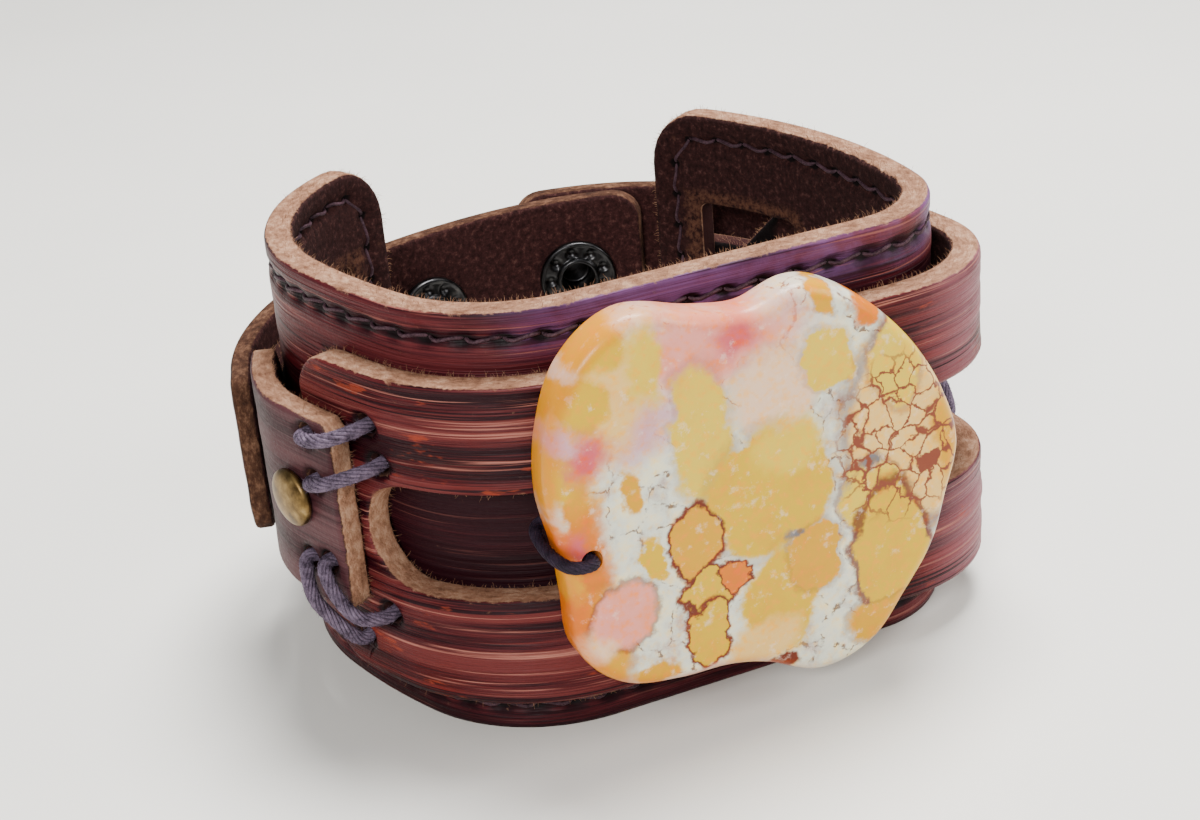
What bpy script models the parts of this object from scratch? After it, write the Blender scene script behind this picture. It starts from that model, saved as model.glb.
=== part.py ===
# Leather cuff bracelet with a stone, closed at the back by a snapped strap.
# It stands on its lower edge, as it would on a table: +Z runs along the wrist, and the stone faces -Y.
# Each leather piece is cut flat, as a maker cuts it, and then bent to the plan of the cuff.
# Lengths are in metres.
import bpy
import bmesh
from math import cos, pi, radians, sin
from mathutils import Matrix, Vector

# The cuff
CUFF_WIDTH = 0.0694
CUFF_HEIGHT = 0.050
BASE_THICKNESS = 0.0033
BASE_CORNER = 0.0068
SLOT_WIDTH = 0.0152
SLOT_HEIGHT = 0.025
SLOT_FROM_END = 0.0068
SLOT_TOP_BELOW_EDGE = 0.0115
SLOT_CORNER = 0.001

# The overlay, whose ends are measured along the cuff's outer face from the middle of its front
OVERLAY_THICKNESS = 0.0033
OVERLAY_HEIGHT = 0.0378
OVERLAY_BOTTOM = 0.0055
OVERLAY_LEFT = 0.0430
OVERLAY_RIGHT = 0.0580
OVERLAY_CORNER = 0.0052
WINDOW_HEIGHT = 0.0125
WINDOW_BOTTOM = 0.0185
WINDOW_FROM_END = 0.0090
BULGE = 0.0018
BULGE_CENTRE = 0.0377
BULGE_REACH = 0.0133

# The tongues and the closure strap
TAB_THICKNESS = 0.0028
TAB_HEIGHT = 0.0228
TAB_BOTTOM = 0.0150
TAB_LAP = 0.0085
TAB_CORNER = 0.0012
TAB_SETTLE = 0.0150
TAIL_HEIGHT = 0.012
TAIL_TOP = 0.032
TAIL_FROM_END = 0.003
STRAP_THICKNESS = 0.0023
STRAP_HEIGHT = 0.021
STRAP_BOTTOM = 0.0155
STRAP_DROP = 0.0018
STRAP_CORNER = 0.0035
STRAP_FRONT_CORNERS = (0.0050, 0.0012)
STRAP_FLARE = 0.0004
STRAP_FLARE_LENGTH = 0.0160
STRAP_REACH = 0.0120
STRAP_SHORT_OF_END = 0.0058
STRAP_LAP = 0.0193

# Rivets, snaps and laces
RIVET_HEAD = 0.0066
RIVET_RISE = 0.0014
RIVET_POST = 0.0024
RIVET_HEIGHT = 0.0272
RIVET_FROM_OVERLAY_END = 0.0015
RIVET_BACK = 0.0056
RIVET_BACK_THICKNESS = 0.0007
SNAP_RING = 0.010
SNAP_RING_THICKNESS = 0.0009
SNAP_TUBE = 0.0056
SNAP_BORE = 0.0042
SNAP_HEAD = 0.0064
SNAP_CAP = 0.0120
SNAP_CAP_RISE = 0.0016
SNAP_FROM_END = 0.0088
SNAP_PITCH = 0.0208
SNAP_SEAT = 0.0007
SNAP_WALL = 0.0008
SNAP_NECK = 0.0004
SNAP_HEAD_RISE = 0.0018
LACE = 0.0016
LACE_HOLE = 0.0024

# The stone
STONE_SIZE = 0.048
STONE_THICKNESS = 0.0052
STONE_EDGE = 0.0018
STONE_CENTRE_X = 0.0054
STONE_CENTRE_Z = 0.0269
STONE_HOLE = 0.0024
STONE_HOLE_FROM_EDGE = 0.0029

# Room between pieces that touch, and the length of one facet round the cuff
GAP = 0.0003
FACET = 0.0024
MERGE = 0.00001
ROUND_SIDES = 16
HOLE_SIDES = 8
STONE_SIDES = 72
CLOSURE_STEPS = 120

# Plan of the cuff's outer face from the middle of its front: a flat, then arcs, each with the angle
# that it turns through and its radius. Lengths are shares of the cuff's width.
PLAN = {
    "right": {"flat": 0.354, "arcs": ((85, 0.176), (45.2, 0.793))},
    "left": {"flat": 0.137, "arcs": ((66, 0.278), (12, 1.081), (34, 0.352), (50, 0.388))},
}
SIDE = {"right": 1, "left": -1}

# The lace strands at each tongue. Each goes from a hole in the tongue, so far behind the tongue's front
# edge, to a hole in the overlay, so far ahead of it. Heights are shares of the tongue's height.
LACE_ROWS = (
    (0.0039, 0.90, 0.0020, 0.97),
    (0.0036, 0.66, 0.0031, 0.78),
    (0.0032, 0.23, 0.0020, -0.03),
    (0.0064, 0.20, -0.0026, -0.22),
)

# The stone's outline: its radius every 15 degrees, from +X towards +Z, as shares of half its size
STONE_RADII = (1.00, 0.97, 0.95, 0.95, 0.97, 0.98, 0.89, 0.96, 1.15, 1.18, 1.11, 1.03,
               0.95, 0.96, 1.04, 1.02, 0.91, 0.83, 0.86, 1.01, 1.05, 1.00, 0.99, 0.97)


def clear_scene():
    for old in list(bpy.data.objects):
        bpy.data.objects.remove(old, do_unlink=True)


def material(name, colour, roughness, metallic=0.0):
    made = bpy.data.materials.new(name)
    made.use_nodes = True
    shader = made.node_tree.nodes["Principled BSDF"]
    shader.inputs["Base Color"].default_value = (*colour, 1.0)
    shader.inputs["Roughness"].default_value = roughness
    shader.inputs["Metallic"].default_value = metallic
    return made


def add_object(name, mesh_data, look, smooth=False):
    piece = bpy.data.objects.new(name, mesh_data)
    bpy.context.scene.collection.objects.link(piece)
    piece.data.materials.append(look)
    if smooth:
        piece.data.shade_smooth()
        piece.data.set_sharp_from_angle(angle=radians(35))
    return piece


def to_mesh(bm, name):
    bmesh.ops.recalc_face_normals(bm, faces=bm.faces)
    data = bpy.data.meshes.new(name)
    bm.to_mesh(data)
    bm.free()
    return data


def ease(share):
    """0 to 1 with level ends"""
    share = min(max(share, 0.0), 1.0)
    return share * share * (3 - 2 * share)


# The plan of the cuff

def side_length(side):
    rows = PLAN[side]
    arcs = sum(radians(turn) * radius for turn, radius in rows["arcs"])
    return (rows["flat"] + arcs) * CUFF_WIDTH


def plan_point(along):
    """Point and outward direction on the cuff's outer face, along it from the front's middle."""
    side = "right" if along >= 0 else "left"
    left_over = abs(along)
    heading = 0.0
    flat = PLAN[side]["flat"] * CUFF_WIDTH
    x, y = min(left_over, flat), 0.0
    left_over -= x
    for turn, share in PLAN[side]["arcs"]:
        radius = share * CUFF_WIDTH
        step = min(left_over, radians(turn) * radius)
        turned = heading + step / radius
        x += radius * (sin(turned) - sin(heading))
        y += radius * (cos(heading) - cos(turned))
        heading = turned
        left_over -= step
    x += left_over * cos(heading)
    y += left_over * sin(heading)
    return Vector((SIDE[side] * x, y, 0)), Vector((SIDE[side] * sin(heading), -cos(heading), 0))


def overlay_face(along):
    """How far the overlay's inner face stands off the cuff: it bulges round the right corner."""
    return GAP + BULGE * ease(1 - abs(along - BULGE_CENTRE) / BULGE_REACH)


def overlay_end(side):
    return OVERLAY_RIGHT if side == "right" else OVERLAY_LEFT


def tab_face(along):
    """The tongue lies on the overlay, and past its end comes down to the cuff."""
    side = "right" if along > 0 else "left"
    end = overlay_end(side)
    on_overlay = overlay_face(SIDE[side] * min(abs(along), end)) + OVERLAY_THICKNESS + GAP
    past = (abs(along) - end - GAP) / TAB_SETTLE
    return on_overlay + (GAP - on_overlay) * ease(past)


def strap_face(along):
    """The strap lies on the tongue, and its front end stands a little off it."""
    side = "right" if along > 0 else "left"
    flare = 1 - (abs(along) - strap_front(side)) / STRAP_FLARE_LENGTH
    return tab_face(along) + TAB_THICKNESS + GAP + STRAP_FLARE * ease(flare)


def strap_front(side):
    return overlay_end(side) + STRAP_REACH


def facets(start, end):
    """Stations from start to end, one facet apart and in step round the whole cuff"""
    first = int(start / FACET) + (1 if start > 0 else 0)
    inner = [k * FACET for k in range(first - 1, int(end / FACET) + 2)]
    inner = [s for s in inner if start + 0.2 * FACET < s < end - 0.2 * FACET]
    return [start] + inner + [end]


def route_on_cuff(start, end, face):
    """Stations with the place of a piece's inner face and the direction its thickness goes"""
    rows = []
    for along in facets(start, end):
        point, outward = plan_point(along)
        rows.append([along, point + outward * face(along), outward])
    return square_up(rows)


def square_up(rows):
    """Turns each station's thickness square to the route"""
    points = [row[1] for row in rows]
    for k, row in enumerate(rows):
        ahead = points[min(k + 1, len(points) - 1)] - points[max(k - 1, 0)]
        across = Vector((ahead.y, -ahead.x, 0)).normalized()
        row[2] = across if across.dot(row[2]) > 0 else -across
    return rows


def route_by_length(points):
    """Stations named by their length along a row of points on a piece's inner face"""
    middle = sum(points, Vector()) / len(points)
    middle.y = 0.4 * CUFF_WIDTH
    rows = []
    length = 0.0
    for k, point in enumerate(points):
        length += (point - points[k - 1]).length if k else 0.0
        rows.append([length, point, point - middle])
    return square_up(rows)


# Cutting leather flat and bending it

def flat_piece(outline, thickness):
    """A flat piece of leather: length along X, thickness along Y, height along Z"""
    bm = bmesh.new()
    corners = [bm.verts.new((x, 0, z)) for x, z in outline]
    face = bm.faces.new(corners)
    grown = bmesh.ops.extrude_face_region(bm, geom=[face])
    moved = [v for v in grown["geom"] if isinstance(v, bmesh.types.BMVert)]
    bmesh.ops.translate(bm, verts=moved, vec=(0, thickness, 0))
    return bm


def rounded(left, right, bottom, top, radii, steps=4):
    """Rectangle with a radius of its own at each corner: bottom left, bottom right, top right, top left"""
    centres = ((left, bottom, 180), (right, bottom, 270), (right, top, 0), (left, top, 90))
    points = []
    for (x, z, first), radius in zip(centres, radii):
        x += radius if x == left else -radius
        z += radius if z == bottom else -radius
        for k in range(steps + 1):
            turn = radians(first + 90 * k / steps)
            points.append((x + radius * cos(turn), z + radius * sin(turn)))
    return points


def disc(x, z, diameter, sides=HOLE_SIDES):
    half = diameter / 2
    turns = [2 * pi * (k + 0.5) / sides for k in range(sides)]
    return [(x + half * cos(turn), z + half * sin(turn)) for turn in turns]


def cut_out(piece, openings, thickness):
    """Cuts each outline right through the flat piece"""
    for number, outline in enumerate(openings):
        bm = flat_piece(outline, 3 * thickness)
        bmesh.ops.translate(bm, verts=bm.verts, vec=(0, -thickness, 0))
        cutter = add_object(f"cutter_{piece.name}_{number}", to_mesh(bm, "cutter"), CUTTER_LOOK)
        cutter.hide_render = True
        cutter.display_type = "WIRE"
        cut = piece.modifiers.new("opening", "BOOLEAN")
        cut.operation = "DIFFERENCE"
        cut.solver = "EXACT"
        cut.object = cutter
    bpy.context.view_layer.update()
    evaluated = piece.evaluated_get(bpy.context.evaluated_depsgraph_get())
    done = bpy.data.meshes.new_from_object(evaluated)
    for cut in list(piece.modifiers):
        used = cut.object
        piece.modifiers.remove(cut)
        bpy.data.objects.remove(used, do_unlink=True)
    piece.data = done


def bend(piece, rows):
    """Creases the flat piece at each station and folds it round the route"""
    bm = bmesh.new()
    bm.from_mesh(piece.data)
    for along, _, _ in rows[1:-1]:
        everything = bm.verts[:] + bm.edges[:] + bm.faces[:]
        bmesh.ops.bisect_plane(bm, geom=everything, dist=MERGE / 10, plane_co=(along, 0, 0),
                               plane_no=(1, 0, 0))
    for vert in bm.verts:
        along, depth, height = vert.co
        k = 0
        while k < len(rows) - 2 and rows[k + 1][0] < along:
            k += 1
        share = (along - rows[k][0]) / (rows[k + 1][0] - rows[k][0])
        near = rows[k][1] + rows[k][2] * depth
        far = rows[k + 1][1] + rows[k + 1][2] * depth
        vert.co = near.lerp(far, share) + Vector((0, 0, height))
    bmesh.ops.remove_doubles(bm, verts=bm.verts, dist=MERGE)
    bmesh.ops.triangulate(bm, faces=bm.faces)
    bmesh.ops.recalc_face_normals(bm, faces=bm.faces)
    bm.to_mesh(piece.data)
    bm.free()


def leather(name, outline, openings, thickness, rows, look):
    piece = add_object(name, to_mesh(flat_piece(outline, thickness), name), look)
    cut_out(piece, openings, thickness)
    bend(piece, rows)
    return rows


# The leather pieces

def rivet_at(side):
    return SIDE[side] * (overlay_end(side) - RIVET_FROM_OVERLAY_END)


def rivet_hole(side):
    return disc(rivet_at(side), RIVET_HEIGHT, RIVET_POST + 3 * GAP)


def make_base():
    ends = {side: side_length(side) for side in SIDE}
    outline = rounded(-ends["left"], ends["right"], 0, CUFF_HEIGHT, (BASE_CORNER,) * 4, steps=5)
    top = CUFF_HEIGHT - SLOT_TOP_BELOW_EDGE
    openings = []
    for side, sign in SIDE.items():
        far = sign * (ends[side] - SLOT_FROM_END)
        near = far - sign * SLOT_WIDTH
        left, right = sorted((near, far))
        openings.append(rounded(left, right, top - SLOT_HEIGHT, top, (SLOT_CORNER,) * 4, steps=2))
        openings.append(rivet_hole(side))
    rows = route_on_cuff(-ends["left"], ends["right"], lambda along: -BASE_THICKNESS)
    return leather("base_cuff", outline, openings, BASE_THICKNESS, rows, BASE_LEATHER)


def lace_holes(side):
    """For each lace strand, its hole in the tongue and its hole in the overlay: along and height"""
    sign = SIDE[side]
    front = overlay_end(side) - TAB_LAP
    rows = []
    for behind, tab_share, ahead, overlay_share in LACE_ROWS:
        in_tab = (sign * (front + behind), TAB_BOTTOM + tab_share * TAB_HEIGHT)
        in_overlay = (sign * (front - ahead), TAB_BOTTOM + overlay_share * TAB_HEIGHT)
        rows.append((in_tab, in_overlay))
    return rows


def make_overlay():
    left, right = -OVERLAY_LEFT, OVERLAY_RIGHT
    top = OVERLAY_BOTTOM + OVERLAY_HEIGHT
    outline = rounded(left, right, OVERLAY_BOTTOM, top, (OVERLAY_CORNER,) * 4)
    round_end = WINDOW_HEIGHT / 2 - MERGE
    window = rounded(left + WINDOW_FROM_END, right - WINDOW_FROM_END, WINDOW_BOTTOM,
                     WINDOW_BOTTOM + WINDOW_HEIGHT, (round_end,) * 4)
    openings = [window]
    for side in SIDE:
        openings.append(rivet_hole(side))
        openings += [disc(*in_overlay, LACE_HOLE) for _, in_overlay in lace_holes(side)]
    rows = route_on_cuff(left, right, overlay_face)
    return leather("overlay_band", outline, openings, OVERLAY_THICKNESS, rows, OVERLAY_LEATHER)


def make_tab(side):
    """A tongue, wide where it is laced to the overlay and narrow where it runs back as a tail"""
    sign = SIDE[side]
    front = overlay_end(side) - TAB_LAP
    tail = side_length(side) - TAIL_FROM_END
    shoulder = overlay_end(side) + STRAP_REACH
    narrow = shoulder + 0.5 * (TAB_HEIGHT - TAIL_HEIGHT)
    top = TAB_BOTTOM + TAB_HEIGHT
    outline = [(front, TAB_BOTTOM + TAB_CORNER), (front + TAB_CORNER, TAB_BOTTOM)]
    outline += [(shoulder, TAB_BOTTOM), (narrow, TAIL_TOP - TAIL_HEIGHT)]
    outline += [(tail, TAIL_TOP - TAIL_HEIGHT), (tail, TAIL_TOP), (narrow, TAIL_TOP)]
    outline += [(shoulder, top), (front + TAB_CORNER, top), (front, top - TAB_CORNER)]
    outline = [(sign * along, height) for along, height in outline]
    openings = [rivet_hole(side)]
    openings += [disc(*in_tab, LACE_HOLE) for in_tab, _ in lace_holes(side)]
    start, end = sorted((sign * front, sign * tail))
    rows = route_on_cuff(start, end, tab_face)
    return leather(f"tab_{side}", outline, openings, TAB_THICKNESS, rows, TAB_LEATHER)


# The closure strap

def closure_curve():
    """Fine points of the closure's inner face across the back, from the cuff's left end to its right"""
    ends = []
    for side in ("left", "right"):
        along = SIDE[side] * side_length(side)
        point, outward = plan_point(along)
        travel = Vector((outward.y, -outward.x, 0))
        ends.append((point + outward * strap_face(along), travel))
    (start, leave), (finish, arrive) = ends
    pull = (finish - start).length
    points = []
    for k in range(CLOSURE_STEPS + 1):
        t = k / CLOSURE_STEPS
        points.append(start * (2 * t**3 - 3 * t**2 + 1) + leave * pull * (t**3 - 2 * t**2 + t)
                      + finish * (3 * t**2 - 2 * t**3) + arrive * pull * (t**3 - t**2))
    return points


def part_of_curve(points, from_share, to_share):
    """Evenly spaced points on a stretch of a curve, about a facet apart"""
    lengths = [0.0]
    for k in range(1, len(points)):
        lengths.append(lengths[-1] + (points[k] - points[k - 1]).length)
    first, last = from_share * lengths[-1], to_share * lengths[-1]
    count = max(2, round(abs(last - first) / FACET))
    picked = []
    for step in range(count + 1):
        at = first + (last - first) * step / count
        k = min(max(j for j, length in enumerate(lengths) if length <= at + 1e-9), len(points) - 2)
        share = (at - lengths[k]) / (lengths[k + 1] - lengths[k])
        picked.append(points[k].lerp(points[k + 1], share))
    return picked


def curve_length(points):
    return sum((points[k] - points[k - 1]).length for k in range(1, len(points)))


def lifted(points, lift):
    """Moves a row of points outward, square to the row"""
    return [row[1] + row[2] * lift for row in route_by_length(points)]


def left_strap_route():
    """From beside the left tongue, round the left end and up a little to near the right end"""
    end = side_length("left")
    side_points = []
    for along in facets(strap_front("left"), end)[:-1]:
        point, outward = plan_point(-along)
        side_points.append(point + outward * strap_face(-along))
    back = closure_curve()
    stop = 1 - STRAP_SHORT_OF_END / curve_length(back)
    points = side_points + part_of_curve(back, 0, stop)
    for k, point in enumerate(points):
        point.z = STRAP_DROP * (k / (len(points) - 1) - 1)
    return route_by_length(points)


def right_strap_route():
    """From beside the right tongue, round the right end and over the left half at the back"""
    end = side_length("right")
    lift = STRAP_THICKNESS + GAP
    side_points = []
    for along in facets(strap_front("right"), end)[:-1]:
        point, outward = plan_point(along)
        climb = lift * ease((along - strap_front("right")) / (end - strap_front("right")))
        side_points.append(point + outward * (strap_face(along) + climb))
    back = closure_curve()
    stop = 1 - (STRAP_SHORT_OF_END + STRAP_LAP) / curve_length(back)
    across = lifted(part_of_curve(back, 1, stop), lift)
    return route_by_length(side_points + across)


def route_place(rows, length):
    """Point and outward direction at a length along a route"""
    k = 0
    while k < len(rows) - 2 and rows[k + 1][0] < length:
        k += 1
    share = (length - rows[k][0]) / (rows[k + 1][0] - rows[k][0])
    return rows[k][1].lerp(rows[k + 1][1], share), rows[k][2].lerp(rows[k + 1][2], share).normalized()


def nearest_length(rows, place):
    """Length along a route at the point nearest to a place"""
    best = None
    for k in range(len(rows) - 1):
        run = rows[k + 1][1] - rows[k][1]
        share = min(max((place - rows[k][1]).dot(run) / run.length_squared, 0), 1)
        away = (rows[k][1] + run * share - place).length
        if best is None or away < best[0]:
            best = (away, rows[k][0] + share * (rows[k + 1][0] - rows[k][0]))
    return best[1]


def snap_places(rows):
    """The two studs on the left half, the one that is snapped first"""
    end = rows[-1][0]
    return [route_place(rows, end - SNAP_FROM_END - number * SNAP_PITCH) for number in range(2)]


def snap_height():
    return STRAP_BOTTOM + STRAP_HEIGHT / 2


def make_left_strap():
    rows = left_strap_route()
    end = rows[-1][0]
    lower, upper = STRAP_FRONT_CORNERS
    outline = rounded(0, end, STRAP_BOTTOM, STRAP_BOTTOM + STRAP_HEIGHT,
                      (lower, STRAP_CORNER, STRAP_CORNER, upper))
    hole = SNAP_TUBE + 3 * GAP
    openings = [disc(end - SNAP_FROM_END - number * SNAP_PITCH, snap_height(), hole) for number in range(2)]
    return leather("strap_left", outline, openings, STRAP_THICKNESS, rows, STRAP_LEATHER)


def make_right_strap(stud_place):
    """The right half, whose cap sits over the first stud of the left half"""
    rows = right_strap_route()
    end = rows[-1][0]
    point, outward = stud_place
    over = nearest_length(rows, point + outward * (STRAP_THICKNESS + GAP))
    lower, upper = STRAP_FRONT_CORNERS
    outline = rounded(0, end, STRAP_BOTTOM, STRAP_BOTTOM + STRAP_HEIGHT,
                      (lower, STRAP_CORNER, STRAP_CORNER, upper))
    openings = [disc(over, snap_height() + point.z, snap_socket() + 3 * GAP)]
    leather("strap_right", outline, openings, STRAP_THICKNESS, rows, STRAP_LEATHER)


# Turned metal pieces

def turned(name, profile, place, height, look):
    """A piece turned about the outward direction: the profile's rows are radius and distance outward"""
    point, outward = place
    bm = bmesh.new()
    verts = [bm.verts.new((radius, 0, out)) for radius, out in profile]
    edges = [bm.edges.new((a, b)) for a, b in zip(verts, verts[1:])]
    bmesh.ops.spin(bm, geom=verts + edges, cent=(0, 0, 0), axis=(0, 0, 1), angle=2 * pi,
                   steps=ROUND_SIDES, use_merge=True)
    bmesh.ops.remove_doubles(bm, verts=bm.verts, dist=MERGE)
    turn = outward.to_track_quat("Z", "Y").to_matrix().to_4x4()
    move = Matrix.Translation(point + Vector((0, 0, height)))
    bmesh.ops.transform(bm, matrix=move @ turn, verts=bm.verts)
    return add_object(name, to_mesh(bm, name), look, smooth=True)


def dome(radius, bottom, rise, steps=3):
    """Rows from the rim of a low dome up to its middle"""
    rim = 0.35 * rise
    rows = [(radius, bottom + rim)]
    for k in range(1, steps + 1):
        turn = pi / 2 * k / steps
        rows.append((radius * cos(turn), bottom + rim + (rise - rim) * sin(turn)))
    rows[-1] = (0, bottom + rise)
    return rows


def make_rivet(side):
    along = rivet_at(side)
    point, outward = plan_point(along)
    seat = tab_face(along) + TAB_THICKNESS + GAP
    back = -BASE_THICKNESS - GAP
    post = RIVET_POST / 2
    profile = [(0, back - RIVET_BACK_THICKNESS), (RIVET_BACK / 2, back - RIVET_BACK_THICKNESS),
               (RIVET_BACK / 2, back), (post, back), (post, seat), (RIVET_HEAD / 2, seat)]
    profile += dome(RIVET_HEAD / 2, seat, RIVET_RISE)
    turned(f"rivet_{side}", profile, (point, outward), RIVET_HEIGHT, BRASS)


def snap_socket():
    return SNAP_HEAD + 2 * GAP + 2 * SNAP_WALL


def make_stud(number, place):
    """A ring on the strap's inner face, a tube through it and a head beyond it, bored from inside"""
    face = -SNAP_SEAT
    ring = SNAP_RING / 2
    head = STRAP_THICKNESS + GAP
    profile = [(0, head), (SNAP_BORE / 2, head), (SNAP_BORE / 2, face - SNAP_RING_THICKNESS * 0.6),
               (SNAP_BORE / 2 + SNAP_WALL * 0.6, face - SNAP_RING_THICKNESS),
               (ring - SNAP_WALL, face - SNAP_RING_THICKNESS), (ring, face - SNAP_RING_THICKNESS * 0.4),
               (ring, face), (SNAP_TUBE / 2, face), (SNAP_TUBE / 2, head + SNAP_NECK),
               (SNAP_HEAD / 2, head + 2 * SNAP_NECK), (SNAP_HEAD / 2 - SNAP_NECK, head + SNAP_HEAD_RISE),
               (0, head + SNAP_HEAD_RISE)]
    turned(f"snap_stud_{number}", profile, place, snap_height(), GUNMETAL)


def make_cap(place):
    """The cap on the right half, and under it the socket that grips the first stud"""
    level = STRAP_THICKNESS + GAP
    top = level + STRAP_THICKNESS + GAP
    inner = SNAP_HEAD / 2 + GAP
    outer = snap_socket() / 2
    profile = [(0, top), (inner, top), (inner, level), (outer, level), (outer, top), (SNAP_CAP / 2, top)]
    profile += dome(SNAP_CAP / 2, top, SNAP_CAP_RISE)
    turned("snap_cap", profile, place, snap_height(), GUNMETAL)


# Cords

def smooth_line(points, spacing):
    """Points along a smooth curve through the given ones"""
    padded = [2 * points[0] - points[1]] + points + [2 * points[-1] - points[-2]]
    line = [points[0]]
    for k in range(1, len(padded) - 2):
        a, b, c, d = padded[k - 1:k + 3]
        count = max(1, round((c - b).length / spacing))
        for step in range(1, count + 1):
            t = step / count
            line.append(0.5 * (2 * b + (c - a) * t + (2 * a - 5 * b + 4 * c - d) * t**2
                               + (3 * b - a - 3 * c + d) * t**3))
    return line


def cord(name, points, diameter, look):
    curve = bpy.data.curves.new(name, "CURVE")
    curve.dimensions = "3D"
    curve.bevel_depth = diameter / 2
    curve.bevel_resolution = 2
    curve.use_fill_caps = True
    line = smooth_line(points, diameter / 2)
    spline = curve.splines.new("POLY")
    spline.points.add(len(line) - 1)
    for knot, point in zip(spline.points, line):
        knot.co = (*point, 1)
    piece = bpy.data.objects.new(name, curve)
    bpy.context.scene.collection.objects.link(piece)
    curve.materials.append(look)
    return piece


def over_piece(rows, along, out, height):
    """A place at a height and at a distance out from a bent piece's inner face"""
    point, outward = route_place(rows, along)
    return point + outward * out + Vector((0, 0, height))


def make_laces(side, tab_rows, overlay_rows):
    """Each strand comes out of the tongue, goes over its edge and into the overlay"""
    front = overlay_end(side) - TAB_LAP
    over = LACE / 2 + GAP
    for number, (in_tab, in_overlay) in enumerate(lace_holes(side), 1):
        run_along = abs(in_tab[0]) - abs(in_overlay[0])
        run_down = in_tab[1] - in_overlay[1]
        crossings = [((abs(in_tab[0]) - front) / run_along, over / run_along)]
        if run_down > 0:
            crossings.append(((in_tab[1] - TAB_BOTTOM) / run_down, over / run_down))
        crossing, step = min(crossings)
        before_edge, at_edge = [
            [a + (b - a) * share for a, b in zip(in_tab, in_overlay)]
            for share in (crossing - 1.2 * step, crossing + 0.95 * step)
        ]
        points = [
            over_piece(tab_rows, in_tab[0], 0.4 * TAB_THICKNESS, in_tab[1]),
            over_piece(tab_rows, in_tab[0], TAB_THICKNESS + 0.4 * over, in_tab[1]),
            over_piece(tab_rows, before_edge[0], TAB_THICKNESS + 1.15 * over, before_edge[1]),
            over_piece(tab_rows, at_edge[0], TAB_THICKNESS + 0.5 * over, at_edge[1]),
            over_piece(overlay_rows, in_overlay[0], OVERLAY_THICKNESS + 0.9 * over, in_overlay[1]),
            over_piece(overlay_rows, in_overlay[0], 0.5 * OVERLAY_THICKNESS, in_overlay[1]),
        ]
        cord(f"lace_{side}_{number}", points, LACE, CORD_LOOK)


# The stone and the cord through its edge

def stone_radius(turn):
    """Radius of the stone's outline, on a smooth curve through the table"""
    count = len(STONE_RADII)
    at = turn / (2 * pi) * count
    k = int(at)
    t = at - k
    a, b, c, d = (STONE_RADII[(k + j - 1) % count] for j in range(4))
    share = 0.5 * (2 * b + (c - a) * t + (2 * a - 5 * b + 4 * c - d) * t**2
                   + (3 * b - a - 3 * c + d) * t**3)
    return share * STONE_SIZE / 2


def stone_back():
    return -(GAP + OVERLAY_THICKNESS + GAP)


def make_stone():
    """A slab with a rounded edge, drilled near its left edge"""
    back = stone_back()
    front = back - STONE_THICKNESS
    edge = STONE_EDGE
    rings = ((edge * 0.6, back), (0, back - edge * 0.6), (0, front + edge),
             (edge * 0.3, front + edge * 0.3), (edge, front))
    bm = bmesh.new()
    loops = []
    for inset, y in rings:
        loop = []
        for k in range(STONE_SIDES):
            turn = 2 * pi * k / STONE_SIDES
            radius = stone_radius(turn) - inset
            x = STONE_CENTRE_X + radius * cos(turn)
            loop.append(bm.verts.new((x, y, STONE_CENTRE_Z + radius * sin(turn))))
        loops.append(loop)
    for near, far in zip(loops, loops[1:]):
        for k in range(STONE_SIDES):
            after = (k + 1) % STONE_SIDES
            bm.faces.new((near[k], near[after], far[after], far[k]))
    bm.faces.new(loops[0])
    bm.faces.new(loops[-1])
    stone = add_object("stone", to_mesh(bm, "stone"), STONE_LOOK)
    hole_x, hole_z = stone_hole_place()
    hole = flat_piece(disc(hole_x, hole_z, STONE_HOLE), 3 * STONE_THICKNESS)
    bmesh.ops.translate(hole, verts=hole.verts, vec=(0, front - STONE_THICKNESS, 0))
    cutter = add_object("cutter_stone", to_mesh(hole, "cutter"), CUTTER_LOOK)
    cutter.hide_render = True
    cutter.display_type = "WIRE"
    cut = stone.modifiers.new("hole", "BOOLEAN")
    cut.solver = "EXACT"
    cut.object = cutter


def stone_hole_place():
    left_edge = STONE_CENTRE_X - stone_radius(pi)
    return left_edge + STONE_HOLE_FROM_EDGE, STONE_CENTRE_Z - STONE_HOLE / 2


def make_stone_cord():
    """From the overlay's window round the stone's left edge, then through the hole and back"""
    hole_x, hole_z = stone_hole_place()
    left_edge = STONE_CENTRE_X - stone_radius(pi)
    over = LACE / 2 + GAP
    back = stone_back()
    front = back - STONE_THICKNESS
    under = back / 2
    points = [
        (hole_x + 3.4 * LACE, under, hole_z + 1.6 * LACE),
        (hole_x, under, hole_z + 1.4 * LACE),
        (left_edge - 0.3 * over, under - 0.3 * over, hole_z + 1.0 * LACE),
        (left_edge - over, (back + front) / 2, hole_z + 0.6 * LACE),
        (left_edge + 0.2 * over, front - 0.9 * over, hole_z + 0.3 * LACE),
        (hole_x - 0.2 * over, front - 0.8 * over, hole_z),
        (hole_x, front + 0.25 * STONE_THICKNESS, hole_z),
        (hole_x, back - 0.1 * over, hole_z),
        (hole_x + over, under, hole_z - 0.3 * LACE),
        (hole_x + 3.4 * LACE, under, hole_z - 0.5 * LACE),
    ]
    cord("stone_cord", [Vector(point) for point in points], LACE, CORD_LOOK)


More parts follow.
